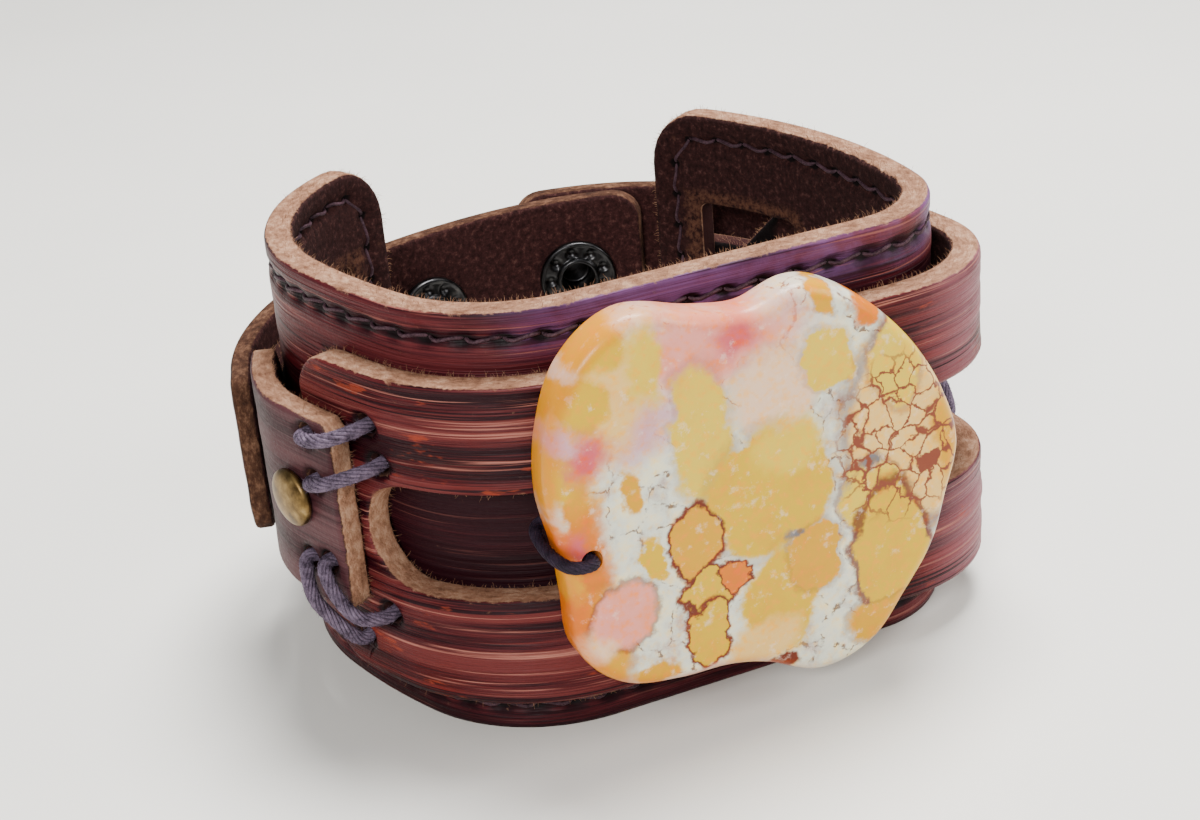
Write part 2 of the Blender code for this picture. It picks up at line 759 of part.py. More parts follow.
def centre_on_box():
    """Moves every piece so that the origin is under the middle of the whole cuff"""
    bpy.context.view_layer.update()
    depsgraph = bpy.context.evaluated_depsgraph_get()
    pieces = [o for o in bpy.context.scene.objects if not o.hide_render]
    corners = []
    for piece in pieces:
        shape = piece.evaluated_get(depsgraph).to_mesh()
        corners += [(v.co.x, v.co.y) for v in shape.vertices]
        piece.evaluated_get(depsgraph).to_mesh_clear()
    for axis in range(2):
        values = [corner[axis] for corner in corners]
        shift = -(min(values) + max(values)) / 2
        for piece in bpy.context.scene.objects:
            piece.location[axis] = shift


clear_scene()
CUTTER_LOOK = material("cutter", (1, 0, 1), 0.5)
BASE_LEATHER = material("base leather", (0.16, 0.055, 0.045), 0.5)
OVERLAY_LEATHER = material("overlay leather", (0.20, 0.060, 0.050), 0.5)
TAB_LEATHER = material("tongue leather", (0.14, 0.075, 0.075), 0.55)
STRAP_LEATHER = material("strap leather", (0.085, 0.045, 0.04), 0.6)
BRASS = material("antique brass", (0.42, 0.33, 0.15), 0.35, 1.0)
GUNMETAL = material("gunmetal", (0.06, 0.06, 0.065), 0.35, 1.0)
CORD_LOOK = material("waxed cord", (0.16, 0.12, 0.19), 0.7)
STONE_LOOK = material("polished stone", (0.85, 0.62, 0.35), 0.2)

make_base()
overlay_route = make_overlay()
for part_side in SIDE:
    make_laces(part_side, make_tab(part_side), overlay_route)
    make_rivet(part_side)
studs = snap_places(make_left_strap())
make_right_strap(studs[0])
for stud_number, stud_place in enumerate(studs, 1):
    make_stud(stud_number, stud_place)
make_cap(studs[0])
make_stone()
make_stone_cord()
centre_on_box()
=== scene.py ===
from bisect import bisect_right
from math import atan2, cos, exp, hypot, pi, radians, sin
from random import Random

import bmesh
import bpy
from mathutils import Matrix, Vector, noise


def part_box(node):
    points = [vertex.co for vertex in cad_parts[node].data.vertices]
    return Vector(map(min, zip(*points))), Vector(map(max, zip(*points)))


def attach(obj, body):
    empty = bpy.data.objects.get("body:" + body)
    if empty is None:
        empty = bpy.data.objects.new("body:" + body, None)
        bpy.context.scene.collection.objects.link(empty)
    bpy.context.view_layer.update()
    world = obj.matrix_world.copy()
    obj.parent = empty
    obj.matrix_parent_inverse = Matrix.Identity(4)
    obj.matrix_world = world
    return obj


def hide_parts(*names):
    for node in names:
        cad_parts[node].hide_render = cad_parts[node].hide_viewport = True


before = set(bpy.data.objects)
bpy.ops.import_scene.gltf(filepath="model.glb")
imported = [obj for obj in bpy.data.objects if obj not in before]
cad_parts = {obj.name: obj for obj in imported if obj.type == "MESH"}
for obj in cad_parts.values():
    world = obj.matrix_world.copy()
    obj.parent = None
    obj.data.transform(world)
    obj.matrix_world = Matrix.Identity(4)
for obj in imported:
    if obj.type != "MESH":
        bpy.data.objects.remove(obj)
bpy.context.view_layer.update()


# Camera
# The cuff stands on a table and is seen from its front left, a little from above.
# The camera is rolled, so the cuff leans to the left in the picture.
cuff_low, cuff_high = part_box("base_cuff")
CAMERA_TURN = radians(22)
CAMERA_RISE = radians(26)
CAMERA_ROLL = radians(-5.1)
CAMERA_DISTANCE = 0.255
SENSOR = 36
LENS = 66
LOOK_FROM_RIGHT = 0.03595
LOOK_FROM_FRONT = 0.0235

look_at = Vector((cuff_high.x - LOOK_FROM_RIGHT, cuff_low.y + LOOK_FROM_FRONT,
                  (cuff_low.z + cuff_high.z) / 2))
level_back = Vector((-sin(CAMERA_TURN), -cos(CAMERA_TURN), 0))
back = level_back * cos(CAMERA_RISE) + Vector((0, 0, sin(CAMERA_RISE)))
level_right = Vector((cos(CAMERA_TURN), -sin(CAMERA_TURN), 0))
upright = back.cross(level_right)
right = level_right * cos(CAMERA_ROLL) + upright * sin(CAMERA_ROLL)
up = back.cross(right)
camera = bpy.data.objects.new("camera", bpy.data.cameras.new("camera"))
camera_turn = Matrix((right, up, back)).transposed().to_4x4()
camera.matrix_world = Matrix.Translation(look_at + back * CAMERA_DISTANCE) @ camera_turn
camera.data.sensor_width = SENSOR
camera.data.lens = LENS
camera.data.clip_start = 0.01
bpy.context.scene.collection.objects.link(camera)
bpy.context.scene.camera = camera


# Floor and light
# A plain pale table top, and the soft light of a studio: a wide lamp above, a lower one
# from the left, a weak one from the right, and a pale surrounding.
FLOOR_SIZE = 3.0
FLOOR_COLOURS = ((0.74, 0.72, 0.665), (0.78, 0.755, 0.70))
FLOOR_GRAIN = 14
ROOM_COLOUR = (0.93, 0.96, 1.0, 1)
ROOM_POWER = 0.42
LAMPS = (
    # name, place, size, power
    ("lamp above", (0.12, 0.10, 0.55), 0.28, 8.8),
    ("lamp left", (-0.34, -0.46, 0.38), 0.22, 3.9),
    ("lamp right", (0.50, -0.30, 0.30), 0.30, 2.6),
)


def add_node(tree, kind, inputs=(), **settings):
    """A node with its settings, whose inputs are values or other nodes' sockets"""
    made = tree.nodes.new(kind)
    for name, value in settings.items():
        setattr(made, name, value)
    for name, value in dict(inputs).items():
        if isinstance(value, bpy.types.NodeSocket):
            tree.links.new(value, made.inputs[name])
        else:
            made.inputs[name].default_value = value
    return made


def new_finish(name):
    """An empty material and the shader that its nodes feed"""
    finish = bpy.data.materials.new(name)
    finish.use_nodes = True
    return finish, finish.node_tree, finish.node_tree.nodes["Principled BSDF"]


def object_place(tree):
    return add_node(tree, "ShaderNodeTexCoord").outputs["Object"]


def grain_noise(tree, vector, scale, detail=4, roughness=0.55):
    made = add_node(tree, "ShaderNodeTexNoise", {"Vector": vector, "Scale": scale, "Detail": detail,
                                                 "Roughness": roughness})
    return made.outputs["Fac"]


def ramp(tree, value, *stops):
    """A colour that follows a value: each stop is a position and a colour"""
    made = add_node(tree, "ShaderNodeValToRGB", {"Fac": value})
    elements = made.color_ramp.elements
    while len(elements) < len(stops):
        elements.new(0.5)
    for element, (position, colour) in zip(elements, stops):
        element.position = position
        element.color = (*colour, 1)
    return made.outputs["Color"]


def add_object(name, bm):
    """A new object in the scene, with the bmesh as its mesh"""
    made = bpy.data.objects.new(name, bpy.data.meshes.new(name))
    bm.to_mesh(made.data)
    bm.free()
    bpy.context.scene.collection.objects.link(made)
    return made


def facing(way, axis="Z"):
    """The turn that points an axis that way"""
    return way.to_track_quat(axis, "Y").to_matrix().to_4x4()


bm = bmesh.new()
bmesh.ops.create_grid(bm, x_segments=1, y_segments=1, size=FLOOR_SIZE / 2)
floor = add_object("floor", bm)
floor_finish, tree, shader = new_finish("pale table")
floor_grain = grain_noise(tree, object_place(tree), FLOOR_GRAIN)
floor_colour = ramp(tree, floor_grain, (0.3, FLOOR_COLOURS[0]), (0.7, FLOOR_COLOURS[1]))
tree.links.new(floor_colour, shader.inputs["Base Color"])
shader.inputs["Roughness"].default_value = 0.6
floor.data.materials.append(floor_finish)

for name, place, size, power in LAMPS:
    lamp = bpy.data.objects.new(name, bpy.data.lights.new(name, "AREA"))
    lamp.data.shape = "DISK"
    lamp.data.size = size
    lamp.data.energy = power
    lamp.matrix_world = Matrix.Translation(place) @ facing(look_at - Vector(place), "-Z")
    bpy.context.scene.collection.objects.link(lamp)
world = bpy.data.worlds.new("pale room")
world.use_nodes = True
surrounding = world.node_tree.nodes["Background"]
surrounding.inputs["Color"].default_value = ROOM_COLOUR
surrounding.inputs["Strength"].default_value = ROOM_POWER
bpy.context.scene.world = world


# The cuff
# One wide band of thick vegetable-tanned leather, cut flat with round corners and an upright slot
# near each end, rubbed round at its cut edges, and bent into an open C. Its outer face is waxed and
# scored along its length, its inner face is dark and napped, and its cut edges are left tan.
CUFF_HEIGHT = cuff_high.z - cuff_low.z
CUFF_THICKNESS = 0.0033
CUFF_CORNER = 0.0068
SLOT_WIDTH = 0.0152
SLOT_HEIGHT = 0.025
SLOT_FROM_END = 0.0068
SLOT_TOP_BELOW_EDGE = 0.0115
SLOT_CORNER = 0.001
SLOT_RIM = 0.0045
# Depth of the scoring and how close its lines lie, then the size of the facets along and across
CUFF_SCORING = (0.00011, 420)
CUFF_FACETS = (0.0007, 0.0006)
# How far the cut edges are rubbed round, and the air between pieces that lie on each other
RUB = 0.0005
GAP = 0.0003
TIGHT = 0.0000001
ROUTE_STEP = 0.0006
# Plan of the outer face from the middle of its front: a flat, then arcs, each with the angle that it
# turns through and its radius. Lengths are shares of the cuff's width.
PLAN = {
    "right": {"flat": 0.354, "arcs": ((85, 0.176), (45.2, 0.793))},
    "left": {"flat": 0.137, "arcs": ((66, 0.278), (12, 1.081), (34, 0.352), (50, 0.388))},
}
SIDE = {"right": 1, "left": -1}


def plan_point(along, scale):
    """Point and outward direction on the cuff's outer face, along it from the front's middle"""
    side = "right" if along >= 0 else "left"
    left_over = abs(along)
    heading = 0.0
    x, y = min(left_over, PLAN[side]["flat"] * scale), 0.0
    left_over -= x
    for turn, share in PLAN[side]["arcs"]:
        radius = share * scale
        length = min(left_over, radians(turn) * radius)
        turned = heading + length / radius
        x += radius * (sin(turned) - sin(heading))
        y += radius * (cos(heading) - cos(turned))
        heading = turned
        left_over -= length
    x += left_over * cos(heading)
    y += left_over * sin(heading)
    return Vector((SIDE[side] * x, y, 0)), Vector((SIDE[side] * sin(heading), -cos(heading), 0))


def side_length(side, scale):
    arcs = sum(radians(turn) * radius for turn, radius in PLAN[side]["arcs"])
    return (PLAN[side]["flat"] + arcs) * scale


unit_points = [plan_point(k / 100, 1)[0].x for k in range(-130, 131)]
CUFF_WIDTH = (cuff_high.x - cuff_low.x) / (max(unit_points) - min(unit_points))
CUFF_END = {side: side_length(side, CUFF_WIDTH) for side in SIDE}
front = Vector((cuff_high.x - max(unit_points) * CUFF_WIDTH, cuff_low.y, cuff_low.z))


def ease(share):
    """0 to 1 with level ends"""
    share = min(max(share, 0.0), 1.0)
    return share * share * (3 - 2 * share)


class Route:
    """The inner face of a bent piece in plan, and the direction that its thickness goes"""

    def __init__(self, rows):
        self.keys = [row[0] for row in rows]
        self.points = [row[1] for row in rows]
        self.across = []
        for k, row in enumerate(rows):
            ahead = self.points[min(k + 1, len(rows) - 1)] - self.points[max(k - 1, 0)]
            square = Vector((ahead.y, -ahead.x, 0)).normalized()
            self.across.append(square if square.dot(row[2]) > 0 else -square)

    def at(self, along):
        """Point and outward direction, at a length along the route"""
        k = min(max(bisect_right(self.keys, along) - 1, 0), len(self.keys) - 2)
        share = (along - self.keys[k]) / (self.keys[k + 1] - self.keys[k])
        point = self.points[k].lerp(self.points[k + 1], share)
        return point, self.across[k].lerp(self.across[k + 1], share).normalized()

    def place(self, along, out, height):
        """Where a point of the flat leather comes to lie, so far out from the inner face"""
        point, across = self.at(along)
        return point + across * out + Vector((0, 0, height))


def route_on_cuff(start, end, face):
    """The route of a piece whose inner face stands off the cuff's outer face"""
    count = round((end - start) / ROUTE_STEP)
    rows = []
    for k in range(count + 1):
        along = start + (end - start) * k / count
        point, outward = plan_point(along, CUFF_WIDTH)
        rows.append((along, front + point + outward * face(along), outward))
    return Route(rows)


def rounded(left, right, bottom, top, radii, steps=7):
    """Rectangle with a radius of its own at each corner: bottom left, bottom right, top right, top left"""
    centres = ((left, bottom, 180), (right, bottom, 270), (right, top, 0), (left, top, 90))
    points = []
    for (x, z, first), radius in zip(centres, radii):
        x += radius if x == left else -radius
        z += radius if z == bottom else -radius
        for k in range(steps + 1):
            turn = radians(first + 90 * k / steps)
            points.append((x + radius * cos(turn), z + radius * sin(turn)))
    return points


def round_hole(along, height, diameter, sides=16):
    turns = [2 * pi * k / sides for k in range(sides)]
    return [(along + diameter / 2 * cos(turn), height + diameter / 2 * sin(turn)) for turn in turns]


def cut_flat(outline, openings, thickness):
    """Leather cut flat, with its edges rubbed round: length along X, thickness along Y, height along Z"""
    bm = bmesh.new()
    for loop in [outline, *openings]:
        corners = [bm.verts.new((along, RUB, height)) for along, height in loop]
        for k, corner in enumerate(corners):
            bm.edges.new((corners[k - 1], corner))
    bmesh.ops.triangle_fill(bm, use_beauty=True, use_dissolve=False, edges=bm.edges[:], normal=(0, -1, 0))
    inner = bm.faces[:]
    grown = bmesh.ops.extrude_face_region(bm, geom=inner)["geom"]
    outer = [part for part in grown if isinstance(part, bmesh.types.BMFace)]
    lifted = list({vert for face in outer for vert in face.verts})
    bmesh.ops.translate(bm, verts=lifted, vec=(0, thickness - 2 * RUB, 0))
    bmesh.ops.recalc_face_normals(bm, faces=bm.faces[:])
    for faces, way in ((inner, -1), (outer, 1)):
        for inward, onward in ((1 - cos(pi / 4), sin(pi / 4)), (cos(pi / 4), 1 - sin(pi / 4))):
            bmesh.ops.inset_region(bm, faces=faces, thickness=inward * RUB, use_even_offset=True)
            moved = list({vert for face in faces for vert in face.verts})
            bmesh.ops.translate(bm, verts=moved, vec=(0, way * onward * RUB, 0))
    return bm


def crease(bm, along_step, heights):
    """Cuts the flat piece into small faces, so that it can bend and carry relief"""
    for height in heights:
        bmesh.ops.bisect_plane(bm, geom=bm.verts[:] + bm.edges[:] + bm.faces[:], dist=TIGHT,
                               plane_co=(0, 0, height), plane_no=(0, 0, 1))
    ends = [vert.co.x for vert in bm.verts]
    first, last = min(ends), max(ends)
    ahead = bm.verts[:] + bm.edges[:] + bm.faces[:]
    count = round((last - first) / along_step)
    for k in range(1, count):
        along = first + (last - first) * k / count
        cut = bmesh.ops.bisect_plane(bm, geom=ahead, dist=TIGHT, plane_co=(along, 0, 0), plane_no=(1, 0, 0))
        ahead = []
        for part in cut["geom"]:
            ends = [part] if isinstance(part, bmesh.types.BMVert) else part.verts
            if any(vert.co.x > along - TIGHT for vert in ends):
                ahead.append(part)


def bend(bm, route, thickness, relief):
    """Marks where each point was on the flat leather, presses the relief in, and bends the piece"""
    flat = bm.verts.layers.float_vector.new("flat")
    through = bm.verts.layers.float.new("through")
    wear_and_shade = bm.verts.layers.float.new("wear_and_shade")
    for vert in bm.verts:
        along, depth, height = vert.co
        share = depth / thickness
        vert[flat] = (along, depth, height)
        vert[through] = share
        pressed, vert[wear_and_shade] = relief(along, height, share)
        vert.co = route.place(along, depth + pressed, height)
    bmesh.ops.remove_doubles(bm, verts=bm.verts[:], dist=TIGHT * 10)
    bmesh.ops.dissolve_degenerate(bm, edges=bm.edges[:], dist=TIGHT * 10)


def fit_on(piece, finish, nodes):
    """Gives a piece its finish, lets it ride on the cuff's body and stand for its CAD nodes"""
    piece.data.materials.append(finish)
    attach(piece, "root")
    if nodes:
        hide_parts(*nodes)
    return piece


def add_piece(name, bm, finish, slot, *nodes):
    """A finished piece made from its bmesh"""
    piece = add_object(name, bm)
    piece.data.shade_smooth()
    return fit_on(piece, finish, nodes)


def attribute(tree, name, output="Fac"):
    return add_node(tree, "ShaderNodeAttribute", attribute_name=name).outputs[output]


def step_up(tree, value, low, high):
    """0 below low, 1 above high, and smooth between"""
    made = add_node(tree, "ShaderNodeMapRange", {"Value": value, "From Min": low, "From Max": high},
                    interpolation_type="SMOOTHSTEP")
    return made.outputs["Result"]


def mixed(tree, share, first, second, blend="MIX"):
    """The first colour with a share of the second: each is a value or another node's socket"""
    first, second = ((*value, 1) if isinstance(value, tuple) else value for value in (first, second))
    made = add_node(tree, "ShaderNodeMix", {0: share, 6: first, 7: second},
                    data_type="RGBA", blend_type=blend)
    return made.outputs[2]


def chosen(tree, share, first, second):
    """The first number at 0 and the second at 1"""
    made = add_node(tree, "ShaderNodeMix", {0: share, 2: first, 3: second}, data_type="FLOAT")
    return made.outputs[0]


def maths(tree, operation, *values):
    made = add_node(tree, "ShaderNodeMath", dict(enumerate(values)), operation=operation)
    return made.outputs[0]


def times(tree, first, second):
    return maths(tree, "MULTIPLY", first, second)


def roughen(tree, shader, height, distance, strength):
    """Lets a height raise and sink the surface's light"""
    made = add_node(tree, "ShaderNodeBump", {"Height": height, "Distance": distance, "Strength": strength})
    tree.links.new(made.outputs["Normal"], shader.inputs["Normal"])


def stretched_noise(tree, vector, scale, detail=3, roughness=0.6):
    """Noise drawn out along the leather's length"""
    across = add_node(tree, "ShaderNodeMapping", {"Vector": vector, "Scale": scale}).outputs["Vector"]
    return grain_noise(tree, across, 1.0, detail, roughness)


def leather_finish(name, face, nap, edge, tint, streaks=1.0, roughness=0.40, painted_sheen=None, painted_shade_band=None,
                   flecks=0.0):
    """Waxed outer face, napped inner face and raw cut edge in one material. The outer face is scored
    along its length. A per-point attribute tells where it stands high and is worn pale, or lies low
    and dark; on the inner face and the edge it tells the same. Low values also carry painted shade:
    darker under the overlay, and near-black in stitch and lace holes, in the slots and where the
    tongue runs under the strap. A painted sheen, a lilac or mauve reflection of the surroundings on
    the wax, is a colour, then the stretches along and up the leather over which it comes in. A painted
    shade band is the two heights between which the face is darkened as painted shade."""
    finish, tree, shader = new_finish(name)
    flat = attribute(tree, "flat", "Vector")
    through = attribute(tree, "through")
    wear_and_shade = attribute(tree, "wear_and_shade")
    bands = stretched_noise(tree, flat, (10, 0, 340), detail=3)
    lines = stretched_noise(tree, flat, (26, 0, 1900), detail=2, roughness=0.5)
    hair_lines = stretched_noise(tree, flat, (90, 0, 5200), detail=2)
    patches = grain_noise(tree, flat, 70, detail=5, roughness=0.6)
    pores = grain_noise(tree, flat, 2600, detail=3)
    tone = maths(tree, "ADD", maths(tree, "MULTIPLY_ADD", wear_and_shade, 0.16, bands),
                 maths(tree, "MULTIPLY_ADD", hair_lines, 0.5, -0.25))
    colour = ramp(tree, tone, (0.40, face[0]), (0.50, face[1]), (0.61, face[2]))
    colour = mixed(tree, step_up(tree, patches, 0.45, 0.75), colour, tint, "SOFT_LIGHT")
    # Painted sheen: a reflection of the surroundings on the wax, mixed in as colour over a stretch of the
    # leather.
    if painted_sheen:
        sheen_colour, along_from, along_to, height_from, height_to = painted_sheen
        parts = add_node(tree, "ShaderNodeSeparateXYZ", {0: flat})
        here = times(tree, step_up(tree, parts.outputs["X"], along_from, along_to),
                     step_up(tree, parts.outputs["Z"], height_from, height_to))
        clouded = times(tree, here, step_up(tree, patches, 0.34, 0.60))
        colour = mixed(tree, times(tree, clouded, 0.85), colour, sheen_colour)
    worn = step_up(tree, maths(tree, "MULTIPLY_ADD", wear_and_shade, 0.05, lines), 0.58, 0.66)
    worn = times(tree, worn, step_up(tree, hair_lines, 0.40, 0.58))
    worn = times(tree, worn, maths(tree, "MULTIPLY_ADD", hair_lines, 1.2, 0.2))
    colour = mixed(tree, times(tree, worn, streaks), colour, face[3])
    sunk = step_up(tree, maths(tree, "MULTIPLY_ADD", wear_and_shade, 0.10, lines), 0.42, 0.34)
    colour = mixed(tree, times(tree, sunk, streaks), colour, face[0])
    # Painted shade: where the face shows through the overlay's window, it is darkened between two heights.
    if painted_shade_band:
        lowest, highest = painted_shade_band
        height = add_node(tree, "ShaderNodeSeparateXYZ", {0: flat}).outputs["Z"]
        inside = times(tree, step_up(tree, height, lowest, lowest + SHADE_BLEND),
                       step_up(tree, height, highest, highest - SHADE_BLEND))
        colour = mixed(tree, times(tree, inside, 0.72), colour, face[0])
    # Painted shade: very low values turn face, nap and edge near-black, in holes, slots and gaps.
    pit = step_up(tree, wear_and_shade, -1.1, -2.0)
    if flecks:
        spots = stretched_noise(tree, flat, (130, 0, 420), detail=4, roughness=0.65)
        spots = step_up(tree, spots, 0.60, 0.68)
        colour = mixed(tree, times(tree, spots, flecks), colour, FLECK_COLOUR)
    colour = mixed(tree, pit, colour, PIT_SHADE_COLOUR)
    specks = grain_noise(tree, flat, 1300, detail=6, roughness=0.75)
    nap_colour = ramp(tree, specks, (0.35, nap[0]), (0.55, nap[1]), (0.72, nap[2]))
    rubbed = times(tree, step_up(tree, wear_and_shade, 0.9, 2.0), step_up(tree, specks, 0.38, 0.60))
    nap_colour = mixed(tree, times(tree, rubbed, 0.75), nap_colour, edge[0])
    nap_colour = mixed(tree, pit, nap_colour, NAP_PIT_SHADE_COLOUR)
    fibre = stretched_noise(tree, flat, (900, 1500, 900), detail=7, roughness=0.7)
    blotch = grain_noise(tree, flat, 300, detail=3)
    edge_value = maths(tree, "ADD", times(tree, fibre, 0.65),
                       times(tree, blotch, 0.35))
    edge_colour = ramp(tree, edge_value, (0.34, edge[0]), (0.50, edge[1]), (0.64, edge[2]))
    edge_colour = mixed(tree, pit, edge_colour, nap[1])
    ragged = maths(tree, "ADD", times(tree, blotch, 0.14), times(tree, specks, 0.22))
    ragged = maths(tree, "ADD", through, maths(tree, "SUBTRACT", ragged, 0.18))
    is_face = step_up(tree, ragged, 0.90, 0.96)
    is_nap = step_up(tree, ragged, 0.12, 0.05)
    colour = mixed(tree, is_face, edge_colour, colour)
    colour = mixed(tree, is_nap, colour, nap_colour)
    tree.links.new(colour, shader.inputs["Base Color"])
    waxed = maths(tree, "MULTIPLY_ADD", pores, 0.3, roughness - 0.12)
    if painted_shade_band:
        waxed = maths(tree, "MULTIPLY_ADD", inside, 0.15, waxed)
    tree.links.new(chosen(tree, is_face, 0.9, waxed), shader.inputs["Roughness"])
    face_height = maths(tree, "ADD", times(tree, lines, 1.1 * streaks),
                        maths(tree, "MULTIPLY_ADD", hair_lines, 0.35 * streaks,
                              times(tree, pores, 0.10)))
    rough_height = maths(tree, "ADD", fibre, times(tree, specks, 0.8))
    roughen(tree, shader, chosen(tree, is_face, rough_height, face_height), 0.0004, 1.0)
    shader.inputs["Specular IOR Level"].default_value = 0.11
    return finish


def on_face(share):
    """1 on the leather's outer face, and 0 below the upper fifth of its thickness"""
    return ease((share - 0.8) / 0.2)


def on_nap(share):
    """1 on the leather's inner face, and 0 above the lower fifth of its thickness"""
    return ease((0.2 - share) / 0.2)


def scored_relief(depth, across, seed):
    """Relief of a face scored along its length, and how high each point of it stands, from -1 to 1"""
    def relief(along, height, share):
        broad = noise.noise(Vector((along * 22, seed, height * across)))
        narrow = noise.noise(Vector((along * 40, seed + 9, height * across * 2.3)))
        level = broad + 0.6 * narrow
        return depth * level * on_face(share), level
    return relief


TAN_EDGE = ((0.120, 0.050, 0.028), (0.30, 0.150, 0.088), (0.48, 0.285, 0.180))
DARK_NAP = ((0.011, 0.003, 0.003), (0.034, 0.011, 0.010), (0.120, 0.050, 0.043))
FLECK_COLOUR = (0.30, 0.042, 0.016)
# Near-black painted shade for holes, slots and gaps, on the face and on the nap
PIT_SHADE_COLOUR = (0.004, 0.001, 0.0015)
NAP_PIT_SHADE_COLOUR = (0.004, 0.002, 0.002)
# Heights between which the cuff shows in the overlay's window and its face gets a painted shade, and how
# softly that painted shade ends
PAINTED_WINDOW_SHADE = (0.0170, 0.0325)
SHADE_BLEND = 0.002
# Heights between which the overlay covers the cuff, where the cuff's face gets painted shade
UNDER_OVERLAY_SHADE = (0.0065, 0.0425)
STITCH_INSET = 0.0031
STITCH_PITCH = 0.0041
STITCH_CORNER = 0.0036
GROOVE = 0.00030
GROOVE_WIDTH = 0.0007
HOLE_DEPTH = 0.00055
HOLE_WIDTH = 0.0008


def walk(points, pitch):
    """Points at even steps round a closed outline"""
    closed = points + points[:1]
    lengths = [0.0]
    for near, far in zip(closed, closed[1:]):
        lengths.append(lengths[-1] + hypot(far[0] - near[0], far[1] - near[1]))
    count = round(lengths[-1] / pitch)
    steps = []
    for step in range(count):
        at = lengths[-1] * step / count
        k = bisect_right(lengths, at) - 1
        share = (at - lengths[k]) / (lengths[k + 1] - lengths[k])
        steps.append((closed[k][0] + (closed[k + 1][0] - closed[k][0]) * share,
                      closed[k][1] + (closed[k + 1][1] - closed[k][1]) * share))
    return steps


stitch_line = rounded(-CUFF_END["left"] + STITCH_INSET, CUFF_END["right"] - STITCH_INSET, STITCH_INSET,
                      CUFF_HEIGHT - STITCH_INSET, (STITCH_CORNER,) * 4, steps=4)
stitch_holes = walk(stitch_line, STITCH_PITCH)


def off_stitch_line(along, height):
    """Distance from the line of stitching, which goes round near the cuff's edge"""
    half_length = (CUFF_END["right"] + CUFF_END["left"]) / 2 - STITCH_INSET - STITCH_CORNER
    half_height = CUFF_HEIGHT / 2 - STITCH_INSET - STITCH_CORNER
    across = abs(along - (CUFF_END["right"] - CUFF_END["left"]) / 2) - half_length
    above = abs(height - CUFF_HEIGHT / 2) - half_height
    outside = hypot(max(across, 0), max(above, 0)) + min(max(across, above), 0)
    return abs(outside - STITCH_CORNER)


def off_box(along, height, box):
    """Distance from a box, whose sides are left, right, bottom and top"""
    left, right, bottom, top = box
    return hypot(max(left - along, along - right, 0), max(bottom - height, height - top, 0))


SLOT_TOP = CUFF_HEIGHT - SLOT_TOP_BELOW_EDGE
SLOT_BOXES = []
for side, sign in SIDE.items():
    far = sign * (CUFF_END[side] - SLOT_FROM_END)
    SLOT_BOXES.append((*sorted((far, far - sign * SLOT_WIDTH)), SLOT_TOP - SLOT_HEIGHT, SLOT_TOP))
cuff_scoring = scored_relief(*CUFF_SCORING, 3)


def cuff_relief(along, height, share):
    """Scoring, the row of stitching with a groove and a pit at each hole, both painted darker as shade,
    painted shade on the face where the overlay covers it, cut edges in the slots painted near-black as
    shade, and a rubbed rim round the slots' inner side"""
    pressed, level = cuff_scoring(along, height, share)
    outside = on_face(share)
    inside = on_nap(share)
    # Painted shade: the face is made darker where the overlay covers it.
    if -OVERLAY_END["left"] < along < OVERLAY_END["right"] and UNDER_OVERLAY_SHADE[0] < height < UNDER_OVERLAY_SHADE[1]:
        level -= 0.8 * outside
    by_slot = min(off_box(along, height, slot) for slot in SLOT_BOXES)
    if by_slot < SLOT_RIM:
        # Painted shade: the cut edges inside the slots are made near-black.
        level = level * outside + (1 - outside) * (1 - inside) * -3.4
        level += 2.2 * inside * ease(1 - by_slot / SLOT_RIM)
    away = off_stitch_line(along, height)
    if away < 4 * GROOVE_WIDTH:
        sunk = GROOVE * exp(-(away / GROOVE_WIDTH) ** 2)
        near = min(hypot(0.7 * (along - a), height - h) for a, h in stitch_holes)
        pit = exp(-(near / HOLE_WIDTH) ** 2)
        pressed -= (sunk + HOLE_DEPTH * pit) * (outside - inside)
        # Painted shade: the stitching groove and each hole are made darker.
        level -= (2.6 * pit + 0.5 * exp(-(away / GROOVE_WIDTH) ** 2)) * (outside + inside)
        level += 1.1 * inside * exp(-((near - 0.0012) / 0.0005) ** 2)
    return pressed, level


def heights_between(bottom, top, step):
    count = round((top - bottom) / step)
    return [bottom + (top - bottom) * k / count for k in range(1, count)]


RIVET_HEIGHT = 0.0272
RIVET_POST = 0.0024
OVERLAY_END = {"left": 0.0430, "right": 0.0580}
RIVET_FROM_OVERLAY_END = 0.0015


def rivet_at(side):
    """Where the rivet stands along the cuff"""
    return SIDE[side] * (OVERLAY_END[side] - RIVET_FROM_OVERLAY_END)


rivet_holes = {side: round_hole(rivet_at(side), RIVET_HEIGHT, RIVET_POST + 3 * GAP) for side in SIDE}
cuff_outline = rounded(-CUFF_END["left"], CUFF_END["right"], 0, CUFF_HEIGHT, (CUFF_CORNER,) * 4)
cuff_route = route_on_cuff(-CUFF_END["left"], CUFF_END["right"], lambda along: -CUFF_THICKNESS)
slots = [rounded(*box, (SLOT_CORNER,) * 4, steps=3) for box in SLOT_BOXES]
bm = cut_flat(cuff_outline, [*slots, *rivet_holes.values()], CUFF_THICKNESS)
crease(bm, CUFF_FACETS[0], heights_between(0, CUFF_HEIGHT, CUFF_FACETS[1]))
bend(bm, cuff_route, CUFF_THICKNESS, cuff_relief)
CUFF_FACE = ((0.013, 0.001, 0.003), (0.048, 0.006, 0.009), (0.098, 0.016, 0.018), (0.27, 0.09, 0.070))
